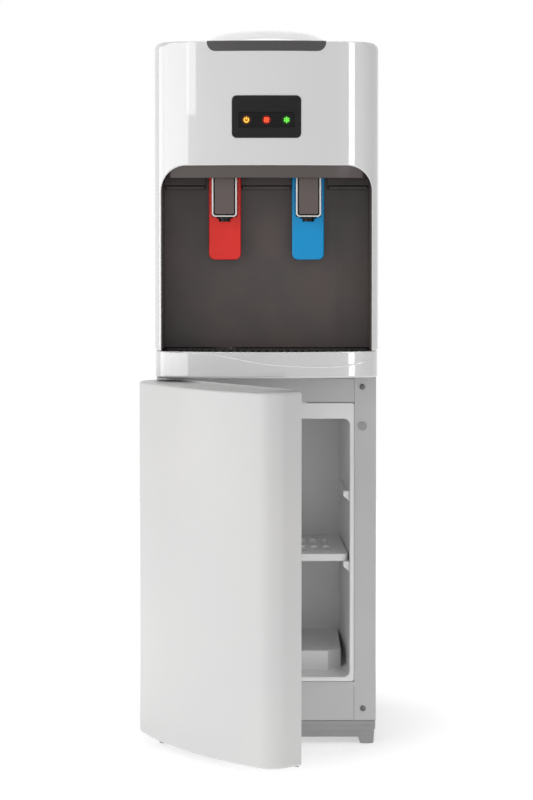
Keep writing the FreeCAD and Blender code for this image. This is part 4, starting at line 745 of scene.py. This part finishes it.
def close_end(skin, outline, front, back, level, up):
    """Flat outer and inner walls across a bowed shell's open end, and their rear edge."""
    ends = [i for i, (_, v) in enumerate(outline) if abs(v - level) < 1e-6]
    front_row, back_row = [front[i] for i in ends], [back[i] for i in ends]
    skin.flat(front_row, up)
    skin.flat(back_row, -up)
    skin.flat([front_row[0], front_row[-1], back_row[-1], back_row[0]], (0, 1, 0))


def make_front_cover(cover):
    """Pearl cover: bowed, round-shouldered, cut away in an arch over the taps."""
    arch_half, arch_high, arch_corner = 144.5, 808.0, 35.0
    arch_side, leg_fade = cover.along(arch_half), 20.0
    arch_bearing = cover.at(arch_side)[2]
    surface, small = cover.face(), 0.01

    def sink(s, v):
        """Into the wall: straight back by the arch, square to the skin elsewhere."""
        if v > cover.shoulder_start:
            here = Vector(surface(s, v))
            across = Vector(surface(s + small, v)) - here
            rise = Vector(surface(s, v + small)) - here
            return -unit(across.cross(rise))
        bearing = cover.at(s)[2]
        leg = ease((arch_high + leg_fade - v) / leg_fade)
        straight = bearing - max(bearing - arch_bearing, 0) / (QUARTER - arch_bearing) * QUARTER
        turned = bearing - straight * leg if bearing > arch_bearing else bearing * (1 - leg)
        side = 1 if s >= 0 else -1
        return -side * sin(turned), cos(turned), 0

    foot, top, outer = cover.foot, cover.top, cover.end
    spring, flat_half = arch_high - arch_corner, arch_half - arch_corner
    arch = joined(
        line((-arch_half, foot), (-arch_half, spring)),
        arc((-flat_half, spring), arch_corner, 180, 90, 5),
        line((-flat_half, arch_high), (flat_half, arch_high)),
        arc((flat_half, spring), arch_corner, 90, 0, 5),
        line((arch_half, spring), (arch_half, foot)))
    levels = spaced(foot, cover.shoulder_start, 7) + spaced(cover.shoulder_start, top, 1.4)[1:]
    across = cover.columns()
    outline = joined(
        line((-outer, foot), (-arch_side, foot)), cover.wrapped(arch),
        line((arch_side, foot), (outer, foot)), [(outer, v) for v in levels],
        [(s, top) for s in reversed(across)], [(-outer, v) for v in reversed(levels)])
    rolled = [0.0 if v > top - 1e-6 else min(2.0, max(0.0, (outer - abs(s)) / 2)) for s, v in outline]
    hole = front_view(*span("control_panel_bezel"), 0.3, 6.3)
    skin = Skin()
    front, back = sheet(skin, surface, [outline, cover.wrapped(backwards(hole))], across, levels,
                        roll=np.array(rolled), sink=sink, skip=level_steps(outline, [top]))
    close_end(skin, outline, front, back, top, UP)
    skin.build("front_cover_shell", "white_gloss", "cabinet", ["front_cover"])


def hinge_turn():
    """The turn about the hinge that takes the door from shut to ajar, in metres."""
    hinge = next(j for j in frame["record"]["behaviour"]["joints"] if j["name"] == "door_hinge")
    pivot = Matrix.Translation(hinge["pos_m"])
    shut = radians(hinge["range_deg"][0])
    return pivot @ Matrix.Rotation(-shut, 4, Vector(hinge["axis"])) @ pivot.inverted()


def make_door(cover):
    """Satin door shell: bowed, with soft rims above and below and rounded rear corners."""
    low, high = span("door_shell")
    rim_radius = 3.2
    bow = Bow(cover.half - 1, cover.middle - cover.radius, cover.rear - DOOR_GAP, tail=2.4)
    start, stop, reach = low.z + rim_radius, high.z - rim_radius, rim_radius * QUARTER

    def surface(s, v):
        if v >= stop:
            inset, z = rim(v, stop, rim_radius)
        elif v <= start:
            inset, z = rim(2 * start - v, start, rim_radius)
            z = 2 * start - z
        else:
            inset, z = 0.0, v
        return (*bow.at(s, inset)[:2], z)

    columns = bow.columns(3.5, 1.2, 5)
    levels = (spaced(start - reach, start, reach / 6) + spaced(start, stop, 9)[1:]
              + spaced(stop, stop + reach, reach / 6)[1:])
    outline = bow.outline(columns, levels)
    foot, top = levels[0], levels[-1]
    skin = Skin()
    front, back = sheet(skin, surface, [outline], columns[1:-1], levels[1:-1], roll=0.0, thickness=2.4,
                        skip=level_steps(outline, (foot, top)), clearance=0.3)
    close_end(skin, outline, front, back, foot, DOWN)
    close_end(skin, outline, front, back, top, UP)
    skin.build("door_outer_shell", "white_satin", "door", ["door_shell"], turn=hinge_turn())


def make_tray_band(cover):
    """Front band over the tray, with a long shallow wave embossed across it."""
    low, high = span("tray_band")
    bow = Bow(cover.half - 1, low.y, high.y)
    relief, fade_from, fade = 1.1, 150, 20
    wave = curve_through([(-160, 553.5), (-82, 551), (-23, 541), (13, 536), (68, 533), (102, 534), (136, 540),
                          (160, 547)], 12)
    wave_x, wave_z = zip(*wave)

    def surface(s, v):
        x = bow.at(s)[0]
        crest = float(np.interp(x, wave_x, wave_z))
        step = relief * ease((crest - v) / 1.2 + 0.5)
        step *= ease((v - low.z) / 3) * ease((fade_from - abs(x)) / fade)
        return (*bow.at(s, -step)[:2], v)

    columns = bow.columns(3.0, 1.6, 6)
    skin = Skin()
    sheet(skin, surface, [bow.outline(columns, spaced(low.z, high.z, 4))], columns,
          spaced(low.z, high.z, 0.6), roll=1.6, clearance=0.6)
    skin.build("tray_band_front", "white_gloss", "cabinet", ["tray_band"])


def make_fascia(cover):
    """Glossy strip under the arch, leaning back towards its lower edge."""
    low, high = span("fascia")
    inset_low, inset_high, rear = 12.0, 5.0, -120.0
    bow = Bow(cover.half - 1, cover.middle - cover.radius, rear)

    def surface(s, v):
        share = (v - low.z) / (high.z - low.z)
        return (*bow.at(s, inset_low + (inset_high - inset_low) * share)[:2], v)

    def end(bearing):
        """Where the round corner reaches a bearing in degrees."""
        return bow.arc + bow.corner * (radians(bearing) - bow.lean)

    foot, head = end(70.0), end(56.0)
    bottom = [(s, low.z) for s in spaced(-foot, foot, 4)]
    top = [(s, high.z) for s in spaced(head, -head, 4)]
    outline = joined(bottom, line(bottom[-1], top[0]), top, line(top[-1], bottom[0]))
    skin = Skin()
    sheet(skin, surface, [outline], spaced(-head, head, 4), spaced(low.z, high.z, 4), roll=0.9)
    finish = plastic("fascia_gloss", (0.055, 0.040, 0.037), 0.12, grain=0.001)
    skin.build("fascia_strip", "taupe_gloss", "cabinet", ["fascia"], material=finish)


def make_collar():
    """Bottle seat: a low dome that rolls over into the funnel and its throat."""
    low, high = span("bottle_collar")
    lid = span("top_cover")[1].z
    outer, throat, wall = (high.x - low.x) / 2, 30.0, 3
    dome = curve_through([
        (outer, lid - 8), (outer, lid + 3), (outer - 1.6, lid + 7.5), (outer - 6.5, lid + 12.6),
        (outer - 19, lid + 20.5), (outer - 34, high.z - 1.6), (outer - 45, high.z - 0.2),
        (outer - 50, high.z - 1.2), (outer - 54, high.z - 6), (throat + 1.5, lid - 8),
        (throat, lid - 14), (throat, low.z)], 8)
    under = curve_through([
        (throat + wall, low.z), (throat + wall, lid - 13), (throat + 10, high.z - 10),
        (outer - 45, high.z - 3.4), (outer - 21, lid + 17), (outer - 6, lid + 8),
        (outer - wall, lid + 2), (outer - wall, lid - 8)], 5)
    middle = (low + high) / 2
    skin = Skin()
    lathe(skin, (middle.x, middle.y, 0), backwards(dome + under + dome[:1]), "Z", 128)
    # Painted light: a brighter copy of the white gloss, standing in for the light that falls on the seat's
    # upper faces.
    finish = pearl_gloss("collar_gloss", (0.86, 0.86, 0.86))
    skin.build("bottle_seat", "white_gloss", "collar", ["bottle_collar"], material=finish)


def make_top_insert(cover):
    """Dark inlay in the middle of the cover's top edge, with round lower corners."""
    low, high = span("top_insert")
    half, crown = (high.x - low.x) / 2, cover.top - 1.2
    outline = round_box((-half, half), (low.z, crown), (12.0, 12.0, 0.4, 0.4), 2.5)
    skin = Skin()
    sheet(skin, cover.face(0.35, upright=True), [outline], spaced(-half, half, 3),
          spaced(low.z, crown, 1.5), roll=0.3, thickness=0.6, clearance=0.6)
    skin.build("top_edge_inlay", "graphite_trim", "cabinet", ["top_insert"])


def stroke(path, width):
    """The outline of a pen stroke of a width along an open path, against the clock."""
    path = [Vector(p) for p in path]
    right, left = [], []
    for index, here in enumerate(path):
        before, after = path[max(index - 1, 0)], path[min(index + 1, len(path) - 1)]
        ahead = unit(after - before)
        aside = Vector((ahead.y, -ahead.x)) * width / 2
        right.append(tuple(here + aside))
        left.append(tuple(here - aside))
    return right + left[::-1]


def polar(degrees, reach):
    """A step of a length at an angle in the plane."""
    return Vector((cos(radians(degrees)), sin(radians(degrees)))) * reach


def symbol_strokes():
    """Each symbol's strokes, as paths and widths in millimetres."""
    power = [(arc((0, 0), 3.0, 125, 415, 12), 1.1), (line((0, 0.8), (0, 4.0)), 1.1)]
    heat = [([(x + 0.7 * sin(radians(z * 75)), z) for z in spaced(-3.2, 3.2, 0.4)], 0.95)
            for x in (-2.3, 0.0, 2.3)]
    snow = [(line(polar(turn, -4.2), polar(turn, 4.2)), 0.75) for turn in (30, 90, 150)]
    for turn in range(30, 390, 60):
        joint = polar(turn, 2.2)
        snow += [(line(joint, joint + polar(turn + lean, 1.6)), 0.6) for lean in (-50, 50)]
    return {"power": power, "heat": heat, "snow": snow}


def make_control_panel(cover):
    """Satin bezel, black gloss window and three lit symbols printed on it."""
    low, high = span("control_panel_bezel")
    edge = front_view(low, high, 0, 6.0, 2.5)
    window_low, window_high = span("indicator_window")
    opening = front_view(window_low, window_high, 0.2, 1.6)
    skin = Skin()
    sheet(skin, cover.face(1.0), [cover.wrapped(edge), cover.wrapped(backwards(opening))],
          spaced(low.x, high.x, 4), spaced(low.z, high.z, 4), roll=0.8, hole_roll=0.3, thickness=4.0)
    skin.build("panel_bezel", "black_satin", "cabinet", ["control_panel_bezel"])
    glass = front_view(window_low, window_high, 0, 1.4, 2.5)
    skin = Skin()
    sheet(skin, cover.face(0.3), [cover.wrapped(glass)], spaced(window_low.x, window_high.x, 4),
          spaced(window_low.z, window_high.z, 4), roll=0.25, thickness=1.4)
    skin.build("panel_window", "smoked_window", "cabinet", ["indicator_window"])
    for step, (symbol, strokes), light in zip((-1, 0, 1), symbol_strokes().items(), INDICATORS):
        middle = indicator_place(step)
        skin = Skin()
        for path, width in strokes:
            outline = [(middle.x + x, middle.z + z) for x, z in stroke(path, width)]
            sheet(skin, cover.face(0.42), [cover.wrapped(outline)], roll=0.04, thickness=0.2, steps=2)
        lit = glow(f"{symbol}_glow", light["symbol"], 2.2)
        skin.build(f"{symbol}_symbol", "light_guide", "cabinet", material=lit)


def make_paddles():
    """Cup levers: plates with a soft edge, a tab up to the hinge barrel, and a fork."""
    bridge, shoulder, half = -131, 7.5, 6.2
    barrel = [(1.6, -8), (3.5, -8), (4.0, -7.5), (4.0, 7.5), (3.5, 8), (1.6, 8), (1.6, -8)]
    for node, finish in (("hot_paddle", "hot_red"), ("cold_paddle", "cold_blue")):
        low, high = span(node)
        middle, face, pivot = (low.x + high.x) / 2, high.y - 8.5, high.z - 4.0
        top, arm = pivot - shoulder, (pivot - 1.4, pivot + 1.4)
        skin = Skin()
        outline = round_box((low.x, high.x), (low.z, top), (8.5, 8.5, 1.0, 1.0), 3)
        sheet(skin, lambda x, z: (x, face, z), [outline], spaced(low.x, high.x, 5),
              spaced(low.z, top, 6), roll=2.4, steps=7)
        bar(skin, (middle - 8, middle + 8), (face + 0.4, face + 2.9), (top - 1.5, pivot), 0.5)
        for start, end in ((-half, -3.4), (3.4, half)):
            bar(skin, (middle + start, middle + end), (low.y, face + 4), arm, 0.4)
        bar(skin, (middle - half, middle + half), (bridge, face + 4), arm, 0.4)
        lathe(skin, (middle, face + 4.5, pivot), barrel, "X", 32)
        skin.build(f"{node}_lever", finish, f"{node.split('_')[0]}_lever", [node])


def make_tap_fronts():
    """Bright frames round the taps' fronts, and the taupe plates inset in them."""
    trim_low, trim_high = span("tap_trims")
    plate_low, plate_high = span("tap_faces")
    tap_half, border, inset = 17.35, 2.3, 4.1
    frames, plates = Skin(), Skin()
    for side in (-1, 1):
        middle = side * ((trim_high.x - trim_low.x) / 2 - tap_half)

        def outline(margin, low, high, foot_bend, head_bend):
            reach = tap_half - margin
            return round_box((middle - reach, middle + reach), (low, high),
                             (foot_bend, foot_bend, head_bend, head_bend), 4)

        outer = outline(0, trim_low.z, trim_high.z, 5.0, 3.4)
        inner = outline(border, trim_low.z + border, trim_high.z - border, 3.0, 1.4)
        sheet(frames, lambda x, z: (x, trim_low.y, z), [outer, backwards(inner)], roll=0.8, hole_roll=0.6,
              thickness=trim_high.y - trim_low.y, steps=5)
        plate = outline(inset, plate_low.z, plate_high.z, 2.0, 0.9)
        sheet(plates, lambda x, z: (x, plate_low.y, z), [plate], spaced(middle - 12, middle + 12, 4),
              spaced(plate_low.z, plate_high.z, 6), roll=0.5, thickness=plate_high.y - plate_low.y)
    frames.build("tap_frames", "bright_trim", "cabinet", ["tap_trims"])
    plates.build("tap_plates", "taupe_gloss", "cabinet", ["tap_faces"])


def make_liner_rim():
    """The liner's flange: a flat frame whose inner edge rolls over into the cavity."""
    low, high = span("cabinet_liner")
    proud, overlap = 0.3, 2.5
    opening_half, opening_low, opening_high = 116.0, 94.5, 456.5
    outer = round_box((low.x - overlap, high.x + overlap), (low.z, high.z), 3.0, 12)
    inner = round_box((-opening_half, opening_half), (opening_low, opening_high), 8.5, 12)
    skin = Skin()
    sheet(skin, lambda x, z: (x, low.y - proud, z), [outer, backwards(inner)], roll=0.4, hole_roll=1.4,
          thickness=1.6, steps=6)
    skin.build("liner_rim", "liner_white", "cabinet")


def make_base():
    """Moulded base: a beaded rim with round corners, a set-back skirt and tapered feet."""
    low, high = span("base")
    half, deep, middle = high.x, (high.y - low.y) / 2, (low.y + high.y) / 2
    top, rim_low, skirt_low = high.z, high.z - 13.5, 9.0
    outline = round_box((-half, half), (low.y, high.y), 9.0, 60)

    def ring(inset, z):
        across, back = 1 - inset / half, 1 - inset / deep
        return [Vector((x * across, middle + (y - middle) * back, z)) for x, y in outline]

    inner = [(10, top - 4), (10, skirt_low), (10, skirt_low)]
    skirt = [(4.0, skirt_low), (3.2, skirt_low + 0.8), (3.0, skirt_low + 1.6), (3.0, rim_low), (3.0, rim_low)]
    edge = [(1.0, rim_low), (0.3, rim_low + 0.3), (0.0, rim_low + 1.0)]
    bead = [(0.0, top - 7.6), (0.5, top - 7.1), (0.5, top - 6.5), (0.0, top - 6.0)]
    crown = [(0.0, top - 1.2), (0.4, top - 0.4), (1.2, top), (6, top)]
    skin = Skin()
    lofted(skin, [ring(inset, z) for inset, z in inner + skirt + edge + bead + crown], (DOWN, UP))
    button = [(0.01, -0.2), (1.6, -0.2), (2.0, -0.5), (2.6, -0.45), (2.9, 0.2)]
    lathe(skin, (half - 12, low.y, 24.5), button, "Y", 24)
    foot = ((24.0, rim_low), (22.5, 9.0), (19.5, 1.2), (18.8, 0.3), (18.0, 0.0))
    for side in (-1, 1):
        for end in (-1, 1):
            corner = Vector((side * (half - 1.4), middle + end * (deep - 1.4), 0))
            rings = []
            for size, z in foot:
                box = round_box((0, size), (0, size), (7.0, 2.0, 2.0, 2.0), 30)
                shift = 1.2 * (1 - z / rim_low)
                rings.append([corner + Vector((-side * (x + shift), -end * (y + shift), z)) for x, y in box])
            if side * end < 0:
                rings = [ring[::-1] for ring in rings]
            lofted(skin, rings[::-1], (DOWN, UP))
    skin.build("base_moulding", "grey_plastic", "cabinet", ["base"])


def make_screws():
    """Domed heads with a cross recess, each on a shank through the sheet."""
    low, high = span("panel_screws")
    head, dome, recess, radius = 2.2, 1.1, 1.3, 4.2
    side = high.x - radius
    places = [(x, low.y + head, z, -1) for x, z in ((134, 501), (135, 50), (-129, 501), (-129, 50))]
    places += [(x, high.y - head, z, 1) for x in (-side, side) for z in (60, 300, 540, 740, 930)]
    arm, half = 2.1, 0.5
    cross, quarter = [], [(half, half), (half, arm), (-half, arm)]
    for _ in range(4):
        cross += quarter
        quarter = [(-y, x) for x, y in quarter]
    shank, seat, grid = 8, head - recess + 0.15, spaced(-3, 3, 1)
    skin = Skin()
    for x, y, z, out in places:
        def surface(u, v):
            return x - out * u, y + out * (head - dome * (u * u + v * v) / radius ** 2), z + v

        sheet(skin, surface, [circle((0, 0), radius, 28), backwards(cross)], grid, grid,
              roll=0.5, hole_roll=0.1, thickness=recess, clearance=0.5)
        profile = [(0.01, -shank), (2.0, -shank), (2.0, 0), (3.4, 0), (3.4, seat), (0.01, seat)]
        if out < 0:
            profile = [(r, -h) for r, h in reversed(profile)]
        lathe(skin, (x, y, z), profile, "Y", 20)
    skin.build("screw_heads", "zinc_steel", "cabinet", ["panel_screws"])


def make_header_edge():
    """The lower edge of the recess's header, rolled over in three runs between the taps."""
    wall, tap_outer, tap_inner = 142.8, 86.0, 35.0
    depth, height = (-90.6, -86.0), (776.6, 782.8)
    skin = Skin()
    for run in ((-wall, -tap_outer), (-tap_inner, tap_inner), (tap_outer, wall)):
        bar(skin, run, depth, height, 2.2)
    skin.build("header_edge", "taupe_moulding", "cabinet")


# ---------------- studio
def area_light(name, place, target, size, power):
    """A white rectangular softbox, width by height in metres, facing a target."""
    data = bpy.data.lights.new(name, "AREA")
    data.shape = "RECTANGLE"
    data.size, data.size_y = size
    data.energy = power
    light = placed(name, data)
    light.location = place
    light.rotation_euler = (Vector(target) - Vector(place)).to_track_quat("-Z", "Y").to_euler()
    light.visible_glossy = name not in UNREFLECTED


# How bright the surround is as light on the object, in reflections, and behind the object.
SURROUND = {"light": 0.27, "glossy": 1.0, "camera": 1.0}

# Each softbox: where it stands, what it faces, its width and height, and its power in watts.
LIGHTS = {
    "key_left": ((-1.635, -1.572, 0.95), (0, -0.1, 0.85), (1.515, 1.5), 13),
    "side_left": ((-1.99, -0.27, 0.8), (0, -0.1, 0.6), (1.1, 1.5), 9),
    "key_edge": ((-0.983, -1.956, 1.45), (0, -0.1, 1.3), (0.12, 0.95), 0.70),
    "strip_right": ((0.72, -1.22, 0.72), (0.1, -0.19, 0.72), (0.05, 1.5), 1.35),
    "fill_right": ((1.5, -2.4, 1.0), (0, 0, 0.4), (1.2, 1.6), 0.8),
    "fill_front": ((0.3, -3.4, 0.8), (0, 0, 0.5), (2.0, 1.6), 7),
    "overhead": ((0.1, -0.5, 2.4), (0, 0, 0.7), (1.6, 1.2), 13),
}
UNREFLECTED = ("fill_right", "fill_front")


def make_surround():
    """A white world, dimmer as light than in reflections and to the camera."""
    world = bpy.data.worlds.new("studio")
    bpy.context.scene.world = world
    world.use_nodes = True
    nodes, links = world.node_tree.nodes, world.node_tree.links
    nodes["Background"].inputs["Color"].default_value = (1, 1, 1, 1)
    ray = nodes.new("ShaderNodeLightPath")
    level = None
    for kind, strength in (("Is Glossy Ray", SURROUND["glossy"]), ("Is Camera Ray", SURROUND["camera"])):
        more = nodes.new("ShaderNodeMath")
        more.operation = "MULTIPLY_ADD"
        links.new(ray.outputs[kind], more.inputs[0])
        more.inputs[1].default_value = strength - SURROUND["light"]
        more.inputs[2].default_value = SURROUND["light"]
        if level:
            links.new(level, more.inputs[2])
        level = more.outputs[0]
    links.new(level, nodes["Background"].inputs["Strength"])


def make_floor():
    """A pale floor that glows, least near the object as a painted shadow round its base and more with
    distance, so that it fades into the surround.
    """
    reach, rear = 1.9, 2.6
    near, far, painted_shadow_glow, glow_far = 0.2, 0.5, 0.44, 0.84
    mesh = bpy.data.meshes.new("studio_floor")
    corners = [(-reach, -reach, 0), (reach, -reach, 0), (reach, rear, 0), (-reach, rear, 0)]
    mesh.from_pydata(corners, [], [(0, 1, 2, 3)])
    floor = placed("studio_floor", mesh)
    paint = Finish("studio_floor", (0.9, 0.9, 0.9), 0.7, Emission_Color=(1, 1, 1, 1))
    paint.mottle(900, 0.01).gloss(300, 0.05).bump(3, 0.02)
    distance = paint.add("ShaderNodeVectorMath", "LENGTH", Vector=paint.place).outputs["Value"]
    # The dimmer glow close to the object is a painted shadow round its base.
    paint.link(paint.remap(distance, painted_shadow_glow, glow_far, at=(near, far)), "Emission Strength")
    mesh.materials.append(paint.material)


def make_camera():
    """Long lens straight in front at tap height, looking very slightly down."""
    data = bpy.data.cameras.new("camera")
    camera = placed("camera", data)
    camera.location = (0, -3.220, 0.727)
    camera.rotation_euler = (radians(90 - 1.5), 0, 0)
    data.sensor_fit = "AUTO"
    data.sensor_width = 36
    data.lens = 100.1
    data.shift_y = -0.146
    data.clip_end = 60
    bpy.context.scene.camera = camera


materials = make_materials()
make_camera()
bpy.context.scene.view_settings.view_transform = "Standard"
make_surround()
make_floor()
for light_name, settings in LIGHTS.items():
    area_light(light_name, *settings)
front_cover = Cover()
make_front_cover(front_cover)
make_door(front_cover)
make_tray_band(front_cover)
make_fascia(front_cover)
make_collar()
make_top_insert(front_cover)
make_control_panel(front_cover)
make_paddles()
make_tap_fronts()
make_header_edge()
make_liner_rim()
make_base()
make_screws()
for name, node in frame["nodes"].items():
    finish = next(s["material_slot"] for s in frame["record"]["subparts"] if s["node"] == name)
    for slot in node.material_slots:
        slot.material = materials[finish]
